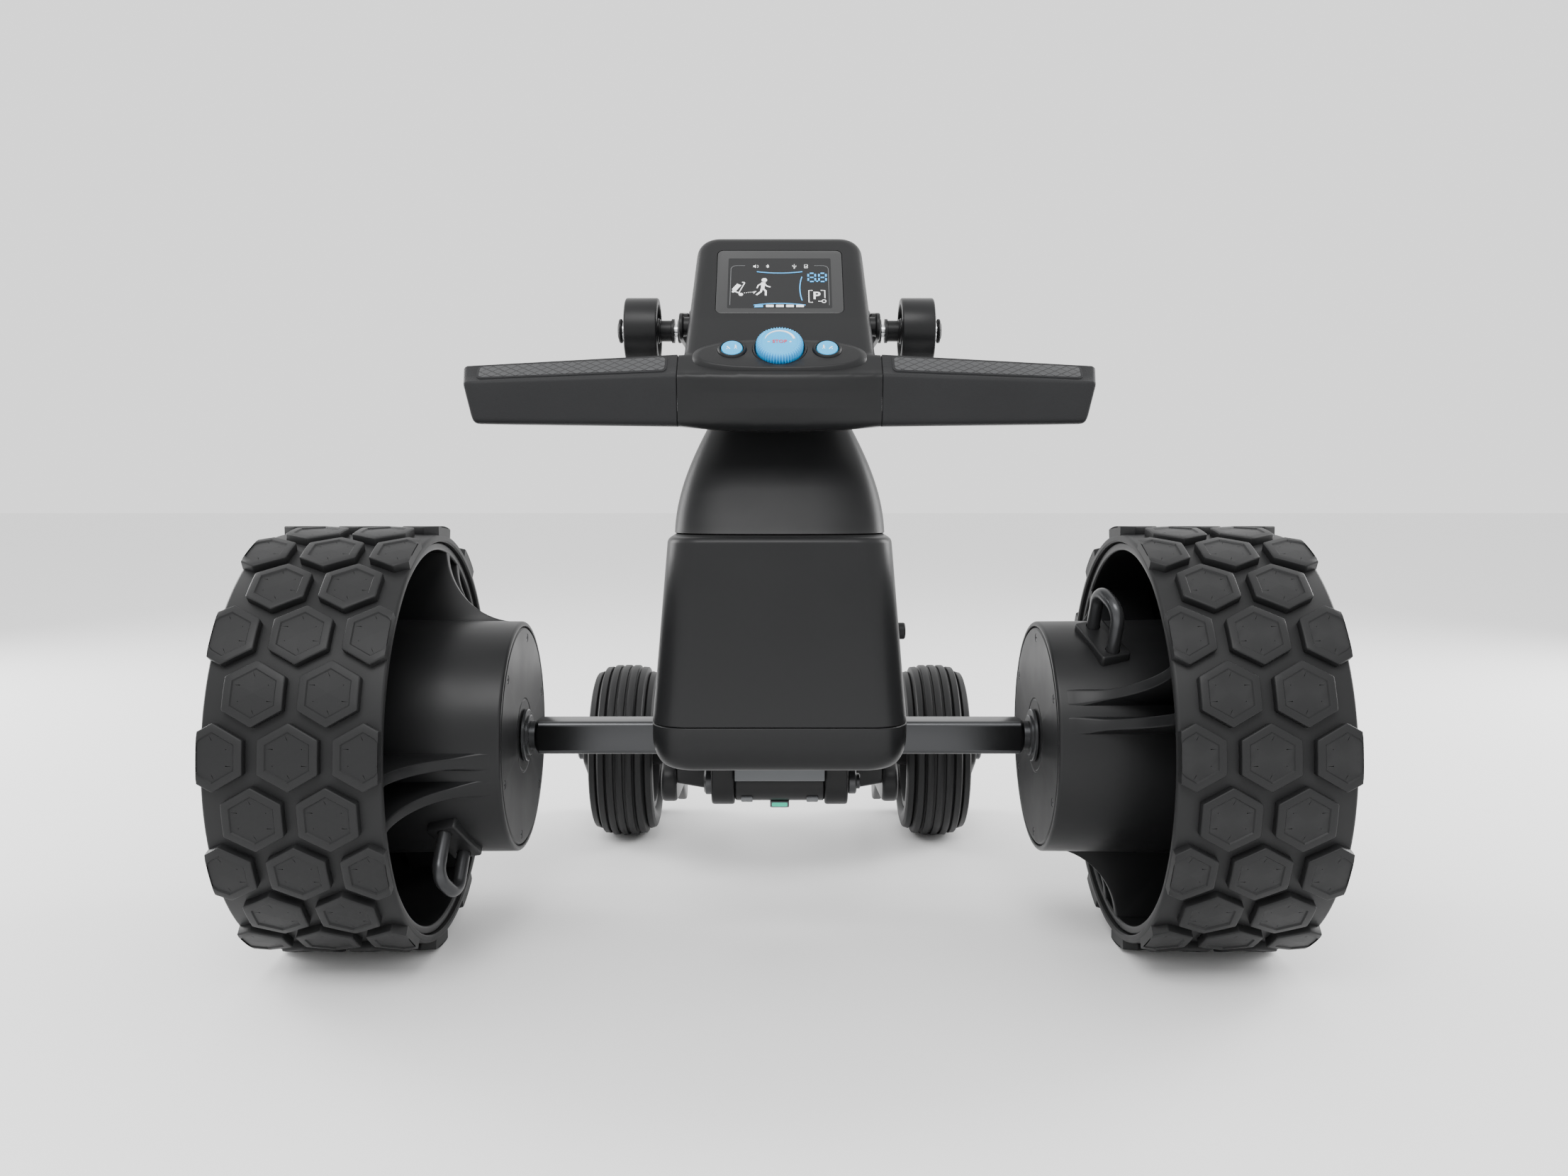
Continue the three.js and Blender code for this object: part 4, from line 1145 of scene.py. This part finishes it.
def crown_radius(x):
    return FRONT_R - 9 * (abs(x) / (FRONT_HALF - 1)) ** 3.2


def front_tyre():
    profile = [(-26, 57), (-FRONT_HALF + 0.8, 62), (-FRONT_HALF, 66), (-FRONT_HALF + 0.6, 71)]
    for rib in range(-3, 4):
        x = rib * RIB_PITCH
        top = crown_radius(x)
        for offset, drop in ((-3.4, 2.2), (-2.9, 0.4), (-2.2, 0), (2.2, 0), (2.9, 0.4), (3.4, 2.2)):
            profile.append((x + offset, min(top, crown_radius(x + offset) + 0.4) - drop))
    profile += [(-x, r) for x, r in profile[3::-1]]
    return smooth(turned("front_tyre", profile, steps=96, closed=True), 30)


def front_rim():
    half, x0, x1 = FRONT_HALF - 4, -39, 31
    ring = turned("ring", [(-half, 50.5), (-half, 56), (-half + 0.7, 56.7), (half - 0.7, 56.7),
                           (half, 56), (half, 50.5), (half - 1.5, 50), (-half + 1.5, 50)], 80, True)
    hub = turned("hub", [(x0, 6.6), (x0, 14), (x0 + 1, 15), (x1 - 1, 15), (x1, 14), (x1, 6.6)], 48, True)
    web = turned("web", [(-4, 14), (-3, 32), (-4, 51), (4, 51), (3, 32), (4, 14)], 64, True)
    return smooth(join("front_rim", ring, hub, web), 30)


tyre, rim = front_tyre(), front_rim()
for piece in (tyre, rim):
    place(piece, shift(FRONT_AXLE), shift(FRONT_X, 0, 0))
tyre.name, rim.name = "right_front_tyre", "right_front_rim"
for side, pieces in (("right", (tyre, rim)),
                     ("left", (mirrored(tyre, "left_front_tyre"), mirrored(rim, "left_front_rim")))):
    hand_over(pieces[0], TREAD, f"front_wheel_{side}", f"front_tyre_{side}")
    hand_over(pieces[1], DARK, f"front_wheel_{side}", f"front_rim_{side}")
print("front wheels done")

# %% [markdown]
# ## Console
# The console is one soft moulding: a leaning tablet for the display, growing out of the middle
# of the handlebar. It is drawn lying flat, with X across the face and Y up it, so that the face
# is a clean plane. The tablet and the bar are welded with a boolean, remeshed into even quads
# and smoothed, which rounds the corner between them as a fillet does on the real mould.

# %% Console outlines
FACE_TOP, FACE_LOW, FACE_HALF = 130.5, -28, 68.6
BEND_UP = 34
SEAM_X = 71.5
BAR_LOW = 384
GRIP_IN, GRIP_OUT = low("grip_right").x, high("grip_right").x
TUBE_Y, TUBE_Z = -25, 401


def quad(a, b, c, steps=6):
    """Points on a quadratic curve, without the first."""
    points = []
    for i in range(1, steps + 1):
        t = i / steps
        points.append(tuple((1 - t) ** 2 * p + 2 * t * (1 - t) * q + t * t * r
                            for p, q, r in zip(a, b, c)))
    return points


def bar_section():
    """The section of the handlebar at the seam, as (y, z) from the drive axle."""
    start = (-30, BAR_LOW)
    return [start, *quad(start, (-36.5, BAR_LOW), (-37.5, 390)), (-38.8, 399), (-40.2, 408),
            (-41.5, 417), *quad((-41.5, 417), (-41.5, 420.6), (-38.8, 421)),
            (-34.2, 425.5), (-29.6, 430), (-25, 434.6),
            *quad((-25, 434.6), (-16, 435), (-10, 424)), *quad((-10, 424), (-3, 410), (-6, 394)),
            *quad((-6, 394), (-10, BAR_LOW), (-18, BAR_LOW))]


def face_half(up):
    """Half the tablet's width, which shrinks towards its top and grows towards the user."""
    return FACE_HALF - 5.2 * up / FACE_TOP if up > 0 else FACE_HALF + 3 * up / FACE_LOW


def lean_screen(x, up, out):
    """The display area leans a little more than the deck, with a soft bend between them."""
    over = max(0, up - BEND_UP)
    return x, up, out + 0.05 * over * over / (over + 9)


def on_console(piece):
    return place(piece, *ON_FACE)


# %% [markdown]
# The bar swells a few millimetres in the middle and rolls back under itself below. It is a loft
# along X of the handlebar's section, swung into the flat drawing by the reverse of the turn that
# will stand the console up again.

# %% Weld the tablet and the bar
top_half = face_half(FACE_TOP)
tablet_plan = [(-face_half(FACE_LOW) + 2, FACE_LOW + 3), (face_half(FACE_LOW) - 2, FACE_LOW + 3),
               (face_half(0), 0), *arc(top_half - 17, FACE_TOP - 17, 17, 0, 90, 6),
               *arc(-top_half + 17, FACE_TOP - 17, 17, 90, 180, 6), (-face_half(0), 0)]
console = plate_z("console_shell", tablet_plan, -33, 0)
bevelled(console, 8, 4)


def share_of(value, none, all_of_it):
    """How far a value is on its way from one limit to the other, from 0 to 1."""
    return min(1, max(0, (value - none) / (all_of_it - none)))


def bar_ring(x):
    swell = 1 - min(1, abs(x) / SEAM_X) ** 2
    ring = []
    for y, z in bar_section():
        front = share_of(y, -14, -28)
        under = share_of(z, 412, 388)
        height = share_of(z, BAR_LOW, BAR_LOW + 34)
        forward = 5 + 3.5 * math.sin(math.pi * height) - 7 * (1 - height) ** 2
        ring.append((x, y - forward * swell * front + AXLE.y, z - 4 * swell * under))
    return ring


bar = lofted("bar", [bar_ring(-77 + 154 * i / 32) for i in range(33)])
place(bar, turn(-TILT, "X"), shift(-DECK))
carve(console, bar, "UNION")
apply_modifier(console, "REMESH", mode="VOXEL", voxel_size=1.3 * MM)
apply_modifier(console, "SMOOTH", factor=0.5, iterations=14)
for side in (-1, 1):
    edit(console)
    bpy.ops.mesh.bisect(plane_co=(side * SEAM_X * MM, 0, 0), plane_no=(side, 0, 0),
                        use_fill=True, clear_outer=True)
    leave()
slide(console, lean_screen)
print("console faces", len(console.data.polygons))

# %% [markdown]
# Pockets are cut for the lens, the dial and the two buttons. The dial and the buttons travel a
# little over a millimetre, so their pockets are deeper than that.

# %% Cut the pockets
GLASS_PLAN = rounded(-47, 47, 41.5, 111.5, 4.7, 6)
BUTTON_X, BUTTON_UP = 33.7, -1


def control_pegs(dial_r, button_r, depth, height):
    """Cylinders to cut with, at the dial and at both buttons."""
    places = ((0, 0, dial_r), (-BUTTON_X, BUTTON_UP, button_r), (BUTTON_X, BUTTON_UP, button_r))
    return [peg(64, radius, depth, shift(x, up, height)) for x, up, radius in places]


recess = plate_z("recess", rounded(-47.3, 47.3, 41.2, 111.8, 5, 6), -2.4, 12)
slide(recess, lean_screen)
carve(console, join("pockets", recess, *control_pegs(17.5, 8.2, 20, 7.2)))
smooth(console, 42)
on_console(console)
console.name = "console_shell"
hand_over(console, SHELL, "handle", "console_top", "console_lower")

glass = plate_z("display_lens", GLASS_PLAN, -2, 0.1)
soften(glass, 0.7, 3)
slide(glass, lean_screen)
hand_over(on_console(glass), LENS, "handle", "display_glass")
panel = plate_z("display_panel", rounded(-38.5, 38.5, 47, 102, 1, 3), -0.4, 0.22)
slide(panel, lean_screen)
hand_over(on_console(panel), SCREEN, "handle")
print("pockets cut")

# %% [markdown]
# The dial and buttons stand on a raised island with a wide chamfer. It leans less than the deck,
# so it rises towards the user and melts away at the top. The island is a loft of superellipses,
# and black collars stand round the dial and both buttons.

# %% Island and collars
ISLAND_HALF, ISLAND_UP, ISLAND_MIDDLE = 61.5, 19.2, -6.8


def island_ring(inset, share):
    ring = []
    for t in full_turn(96):
        x = (ISLAND_HALF - inset) * squared(math.cos(t), 0.8)
        up = ISLAND_MIDDLE + (ISLAND_UP - inset * 0.8) * squared(math.sin(t), 0.8)
        rise = 0.8 + (12.5 - up) * 0.13
        ring.append((x, up, rise * share if share > 0 else share))
    return ring


island = lofted("control_island", [island_ring(0, -4), island_ring(0, 0.25), island_ring(0.5, 0.42),
                                   island_ring(3.6, 0.92), island_ring(4.4, 0.99),
                                   island_ring(5.4, 1), island_ring(14, 1)])
carve(island, join("bores", *control_pegs(19.6, 10.6, 30, 0)))
hand_over(on_console(smooth(island, 30)), SHELL, "handle")


def bezel(name, inner, outer, height):
    profile = [(-0.8, inner), (-0.8, outer), (height - 1.4, outer), (height - 0.5, outer - 0.5),
               (height, outer - 1.2), (height, inner + 0.6), (height - 0.5, inner)]
    return smooth(turned(name, profile, steps=64, closed=True, axis="Z"), 30)


dial_collar = bezel("dial_collar", 17.5, 19.5, 3.6)
hand_over(on_console(dial_collar), DARK, "handle")
for side, x in (("left", -BUTTON_X), ("right", BUTTON_X)):
    collar_ring = place(bezel(f"{side}_button_collar", 8.2, 10.5, 4.2), shift(x, BUTTON_UP, 0),
                        turn(-5, "X"))
    hand_over(on_console(collar_ring), DARK, "handle")
print("island done")

# %% [markdown]
# The dial's rim has 48 teeth for the thumb. Its radius is a cosine of the angle, and the teeth
# fade out towards the smooth top, so one loft makes the whole knob.

# %% Dial and buttons
TEETH = 48


def dial_ring(height, radius, tooth):
    ring = []
    for t in full_turn(TEETH * 6):
        r = radius + tooth * math.cos(TEETH * t)
        ring.append((r * math.cos(t), r * math.sin(t), height))
    return ring


knob = lofted("dial", [dial_ring(*row) for row in (
    (0.3, 15.7, 0.3), (0.6, 16.0, 0.85), (6.4, 15.9, 0.95), (7.8, 15.6, 0.95), (8.9, 14.8, 0.8),
    (9.4, 14.0, 0.3), (9.5, 13.6, 0), (9.4, 13.2, 0), (9.1, 12.9, 0), (9.15, 12.5, 0),
    (9.5, 12.0, 0), (9.8, 9, 0), (9.95, 4, 0), (10, 1, 0))])
hand_over(on_console(smooth(knob, 32)), BLUE, "dial", "dial_knob")


def push_button(name):
    profile = [(-1, 0), (-1, 4), (-0.1, 4), (0, 7.4), (0.3, 7.6), (3.6, 7.6), (4.2, 7.3), (4.5, 6.7),
               (4.55, 5.6), (4.75, 3), (4.8, 0)]
    return smooth(turned(name, profile, steps=64, axis="Z"), 35)


for side, x in (("left", -BUTTON_X), ("right", BUTTON_X)):
    button = place(push_button(f"{side}_button"), shift(x, BUTTON_UP, 0))
    hand_over(on_console(button), BLUE, f"button_{side}", f"button_{side}")
print("controls done")

# %% [markdown]
# ## Printed marks
# The display shows a few icons, a speed of two digits, a parking sign and a battery gauge. Each
# mark is a very thin plate lying on its surface. `stroke` gives a line its width, `print_on`
# collects marks of one ink in one piece, and lettering is typed as text and turned into a mesh.


# %% Marks
def stroke(points, width, taper=1.0):
    left, right = [], []
    for index, point in enumerate(points):
        here = Vector(point)
        before = Vector(points[max(index - 1, 0)])
        after = Vector(points[min(index + 1, len(points) - 1)])
        along = (after - before).normalized()
        half = width / 2 * (1 + (taper - 1) * index / (len(points) - 1))
        side = Vector((-along.y, along.x)) * half
        left.append((here + side)[:])
        right.append((here - side)[:])
    return right + left[::-1]


def disc(x, up, radius, steps=20):
    return arc(x, up, radius, 0, 360 * (steps - 1) / steps, steps - 1)


def letters(text, x, up, size, height, rise=0.25):
    clear()
    bpy.ops.object.text_add(location=(0, 0, 0))
    typed = bpy.context.object
    typed.data.body = text
    typed.data.size = size * MM
    typed.data.extrude = rise / 2 * MM
    typed.data.offset = size * 0.018 * MM
    typed.data.align_x, typed.data.align_y = "CENTER", "CENTER"
    typed.data.resolution_u = 3
    bpy.ops.object.convert(target="MESH")
    return place(bpy.context.object, shift(x, up, height))


def print_on(name, shapes, ink, body, height, rule=None, words=(), lift=0.3):
    marks = [plate_z("mark", points, height - lift, height) for points in shapes]
    marks += [letters(*word) for word in words]
    sheet = join(name, *marks)
    if rule:
        slide(sheet, rule)
    on_console(sheet)
    return hand_over(sheet, ink, body)


def lit_digit(x, up, wide, tall, thick):
    w, h, t = wide / 2, tall / 2, thick
    gap = t * 0.7
    level = [[(x - w + t, up + y), (x + w - t, up + y)] for y in (-h, 0, h)]
    upright = [[(x + a, up + b + gap), (x + a, up + b + h - gap)] for a in (-w, w) for b in (-h, 0)]
    return [stroke(bar_line, t) for bar_line in level + upright]


# %% [markdown]
# Inks on the display: thin grey frame lines, white icons, and blue for the digits and arcs.

# %% Display marks
PRINT = 0.42
frame_lines = []
for side in (-1, 1):
    corner = arc(side * 32.5, 89.5, 4, 180 if side < 0 else 0, 90, 6)
    frame_lines.append(stroke([(side * 36.5, 50), *corner, (side * 26, 93.5)], 0.35))
print_on("display_frame_lines", frame_lines, GREY_INK, "handle", PRINT, lean_screen)

top_arc = [(x, 85.2 + 1.6 * (x / 17) ** 2) for x in range(-17, 18, 2)]
side_arc = [(15 + 1.6 * (y / 13) ** 2, 68 + y) for y in range(-13, 14, 2)]
low_arc = [(x, 51.8 - 1.8 * (x / 19) ** 2) for x in range(-19, 20, 2)]
blue_marks = [stroke(top_arc, 0.7), stroke(side_arc, 0.7), stroke(low_arc, 0.6)]
for x in (24, 32):
    blue_marks += lit_digit(x, 80.4, 5.2, 9.2, 1.25)
blue_marks += [disc(28, 76, 0.7, 12), [(-18.6, 47.6), (-12.2, 47.9), (-12.2, 50.1), (-18, 49.6)]]
print_on("display_blue_marks", blue_marks, BLUE_INK, "handle", PRINT, lean_screen)

white_marks = []
for index in range(4):
    x = -10 + 7.4 * index
    white_marks.append([(x, 47.9), (x + 5.6, 47.9), (x + 5.6, 50.3), (x, 50.3)])
trolley_icon = [[(-35.4, 67.2), (-31.6, 73.4), (-28.4, 71.6), (-32.4, 65.4)],
                stroke([(-34.8, 66), (-29, 62.4)], 1.1), stroke([(-30.4, 62.6), (-25.9, 74.4)], 0.7),
                stroke([(-26, 74.6), (-27.9, 74.9)], 0.8), disc(-28.6, 61.6, 1.6), disc(-34.4, 64.6, 1.0)]
dots = [disc(x, 63.2 + 0.8 * math.cos((x + 21) / 3), 0.35, 8) for x in (-26, -24.6, -23.2, -21.8, -20.4)]
arrow = [[(-19.6, 64.6), (-17.2, 65.1), (-19.2, 62.2)]]
walker = [disc(-11.4, 77.4, 2.1), stroke([(-12, 74.8), (-12.6, 68.4)], 3.2, 0.8),
          stroke([(-12.8, 68.8), (-10.2, 65.2), (-10.2, 60.4)], 1.7, 0.8),
          stroke([(-13, 68.8), (-13.8, 64.6), (-17.2, 61)], 1.7, 0.8),
          stroke([(-12.2, 74), (-9.2, 70.6), (-6.8, 69.6)], 1.2, 0.8),
          stroke([(-12.6, 74), (-15.8, 71.6), (-16.8, 68.4)], 1.2, 0.8)]
bracket = [stroke([(24.4, 53), (21.6, 53), (21.6, 66), (24.4, 66)], 0.7),
           stroke([(30.4, 66), (33.4, 66), (33.4, 57.6)], 0.7)]
ring_mark = [stroke(arc(32.6, 54.2, 1.5, 0, 350, 16), 0.6), stroke([(30.9, 54.2), (28.4, 54.2)], 0.6)]
icons = [[(-19.8, 92), (-18.9, 92), (-17.8, 91), (-17.8, 94.6), (-18.9, 93.6), (-19.8, 93.6)],
         stroke(arc(-18, 92.8, 1.9, -45, 45, 5), 0.35),
         stroke([(-10, 91.9), (-8.2, 93.8), (-9.1, 94.8), (-9.1, 91), (-8.2, 91.9), (-10, 93.8)], 0.32),
         stroke([(11, 90.8), (11, 95)], 0.4), stroke([(11, 91.6), (12.3, 92.6), (12.3, 93.6)], 0.35),
         stroke([(11, 92.2), (9.7, 93.2), (9.7, 94)], 0.35), disc(11, 90.8, 0.55, 10),
         stroke([(18.6, 91), (18.6, 94.6), (21, 94.6), (21, 91), (18.6, 91)], 0.35),
         stroke([(19.1, 92.8), (19.8, 91.9), (21.2, 94)], 0.4)]
white_marks += trolley_icon + dots + arrow + walker + bracket + ring_mark + icons
print_on("display_white_marks", white_marks, WHITE_INK_LIT_AND_PAINTED_GLOW, "handle", PRINT, lean_screen,
         words=[("P", 27.3, 60, 11, PRINT - 0.12)])
print("display marks done")

# %% [markdown]
# The dial carries a speed arc that grows thicker clockwise, a minus, a plus and the word STOP.
# Each button has two tiny figures. They ride on the dial and the buttons, and turn with them.

# %% Dial and button marks
speed_arc = [(10.4 * math.cos(t), 10.4 * math.sin(t)) for t in
             (math.radians(168 - 156 * i / 30) for i in range(31))]
dial_marks = [stroke(speed_arc, 0.35, 4.5), stroke([(-8.4, -1.2), (-6.9, -1.2)], 0.45),
              stroke([(6.9, -1.2), (8.4, -1.2)], 0.4), stroke([(7.65, -0.45), (7.65, -1.95)], 0.4)]
# The dial's white print glows with a painted glow, although the dial is no lamp.
print_on("dial_white_marks", dial_marks, WHITE_INK_LIT_AND_PAINTED_GLOW, "dial", 10.12, lift=0.7)
print_on("dial_word", [], RED_INK, "dial", 10.12, words=[("STOP", 0, -1.2, 4.3, 9.98, 0.5)])


def tiny_walker(x, up):
    return [disc(x, up + 1.9, 0.5, 10), stroke([(x, up + 1.4), (x, up)], 0.8),
            stroke([(x, up), (x + 0.9, up - 1.6)], 0.4), stroke([(x, up), (x - 0.8, up - 1.6)], 0.4),
            stroke([(x, up + 1.1), (x + 1, up + 0.3)], 0.3)]


def tiny_trolley(x, up, way):
    return [stroke([(x - way * 1.1, up - 1.2), (x + way * 0.7, up + 0.9)], 0.7),
            disc(x - way * 1.3, up - 1.5, 0.4, 10), disc(x + way * 0.6, up - 1.5, 0.4, 10)]


for side, way in (("left", -1), ("right", 1)):
    x, up = way * BUTTON_X, BUTTON_UP
    shapes = tiny_walker(x - 2.6 * way, up) + tiny_trolley(x + 2.8 * way, up, way)
    # The buttons' white print glows with a painted glow, although the buttons are no lamps.
    print_on(f"{side}_button_marks", shapes, WHITE_INK_LIT_AND_PAINTED_GLOW, f"button_{side}", 4.86, lift=0.4)
print("control marks done")

# %% [markdown]
# ## Grips
# A grip is a soft rubber sleeve that keeps the handlebar's section and slims towards a slanted,
# rounded end. It is lofted along X. A separate pad with a diamond knurl lies on the facet where
# the thumb rests, inside a smooth border.


# %% Grips and pads
def grip_point(x, y, z):
    along = (x - GRIP_IN) / (GRIP_OUT - GRIP_IN)
    shrink = 1 - 0.2 * along
    return x, TUBE_Y + (y - TUBE_Y) * shrink + AXLE.y, TUBE_Z - 1.5 * along + (z - TUBE_Z) * shrink


def grip_ring(x, inset=0.0):
    slant = max(0, (x - 190) / (GRIP_OUT - 190)) * 0.2
    ring = []
    for y, z in bar_section():
        keep = 1 - inset / 20
        y, z = TUBE_Y + (y - TUBE_Y) * keep, 408 + (z - 408) * keep
        px, py, pz = grip_point(x, y, z)
        ring.append((px - slant * max(0, 430 - pz), py, pz))
    return ring


stations = [GRIP_IN + 0.6 + (GRIP_OUT - 3.5 - GRIP_IN - 0.6) * i / 20 for i in range(21)]
ends = [(GRIP_OUT - 2.2, 0.4), (GRIP_OUT - 1.2, 0.9), (GRIP_OUT - 0.5, 1.7), (GRIP_OUT - 0.1, 2.8),
        (GRIP_OUT, 4.2)]
grip = lofted("right_grip", [grip_ring(GRIP_IN, 0.7)] + [grip_ring(x) for x in stations]
              + [grip_ring(x, inset) for x, inset in ends])
smooth(grip, 40)
FACET = (Vector((-38.8, 421)), Vector((-25, 434.6)))
facet_up = (FACET[1] - FACET[0]).normalized()
facet_out = Vector((-facet_up.y, facet_up.x))


def on_facet(x, up, out):
    point = FACET[0] + facet_up * up + facet_out * out
    return grip_point(x, point.x, point.y)


border = slide(soften(plate_z("right_pad_border", rounded(79, 213, 1.4, 18.2, 4, 6), -1, 0.5), 0.4, 2),
               on_facet)
pad = slide(soften(plate_z("right_thumb_pad", rounded(80.6, 211.4, 3, 16.6, 3, 6), -0.5, 0.75), 0.2, 2),
            on_facet)


def knurled(name="diamond_knurl_painted_shade"):
    material, tree, shader = begin_material(name)
    place_of = tree.nodes.new("ShaderNodeTexCoord")
    lines = []
    for sign in (1, -1):
        across = tree.nodes.new("ShaderNodeVectorMath")
        across.operation = "DOT_PRODUCT"
        tree.links.new(place_of.outputs["Object"], across.inputs[0])
        slope = sign / (5.4 * MM)
        across.inputs[1].default_value = (1 / (8.6 * MM), facet_up.x * slope, facet_up.y * slope)
        fold = tree.nodes.new("ShaderNodeMath")
        fold.operation = "PINGPONG"
        fold.inputs[1].default_value = 0.5
        tree.links.new(across.outputs["Value"], fold.inputs[0])
        lines.append(fold)
    nearest = tree.nodes.new("ShaderNodeMath")
    nearest.operation = "MINIMUM"
    for index, fold in enumerate(lines):
        tree.links.new(fold.outputs["Value"], nearest.inputs[index])
    relief_with_painted_light = ranged(tree, nearest.outputs["Value"], 0.02, 0.10, 0, 1)
    # Painted shade in the grooves and a painted highlight on the raised diamonds, from the same relief
    # mask that drives the bump.
    shade = blend(tree, relief_with_painted_light, (0.010, 0.0103, 0.011), (0.038, 0.039, 0.041))
    tree.links.new(shade, shader.inputs["Base Color"])
    shader.inputs["Roughness"].default_value = 0.6
    fine = bump(tree, shader, noise(tree, 0.6, 3).outputs["Fac"], 0.02)
    bump(tree, shader, relief_with_painted_light, 0.35, 1.0, fine)
    return material


KNURL_WITH_PAINTED_SHADE = knurled()
for side in ("right", "left"):
    whole = (grip, border, pad) if side == "right" else [
        mirrored(piece, piece.name.replace("right", "left")) for piece in (grip, border, pad)]
    hand_over(whole[0], GRIP, "handle", f"grip_{side}")
    hand_over(whole[1], GRIP, "handle")
    hand_over(whole[2], KNURL_WITH_PAINTED_SHADE, "handle")
print("grips done")

# %% [markdown]
# An ear on each side of the console reaches forward to the roller axle. The handle folds about
# it there. Each ear is a plate between two round ends, with a flanged boss on its outer side and
# a round foot that joins it to the console.

# %% Ears of the fold joint
EAR_IN, EAR_OUT = 71.2, 74.2
near = Vector((0, 46, -16))
near.rotate(Matrix.Rotation(math.radians(TILT), 3, "X"))
near = near + DECK
ear = plate_x("ear", link(ROLLER_AXLE.yz[:], 14, near.yz[:], 10, 20), EAR_IN, EAR_OUT)
soften(ear, 0.9, 3, 50)
boss = turned("boss", [(74, 5.6), (74, 8.6), (74.6, 8), (77.2, 8), (77.6, 9), (77.6, 9.5),
                       (79.2, 9.5), (79.7, 9), (79.7, 5.6)], steps=48, closed=True)
place(boss, shift(ROLLER_AXLE))
foot = turned("foot", [(60, 0), (60, 7), (70.6, 7), (71.6, 8), (71.6, 0)], steps=40)
place(foot, shift(0, near.y, near.z))
ear = smooth(join("right_ear", ear, boss, foot), 35)
hand_over_pair(ear, "left_ear", SHELL, "handle", "pivot_plate")
print("ears done")
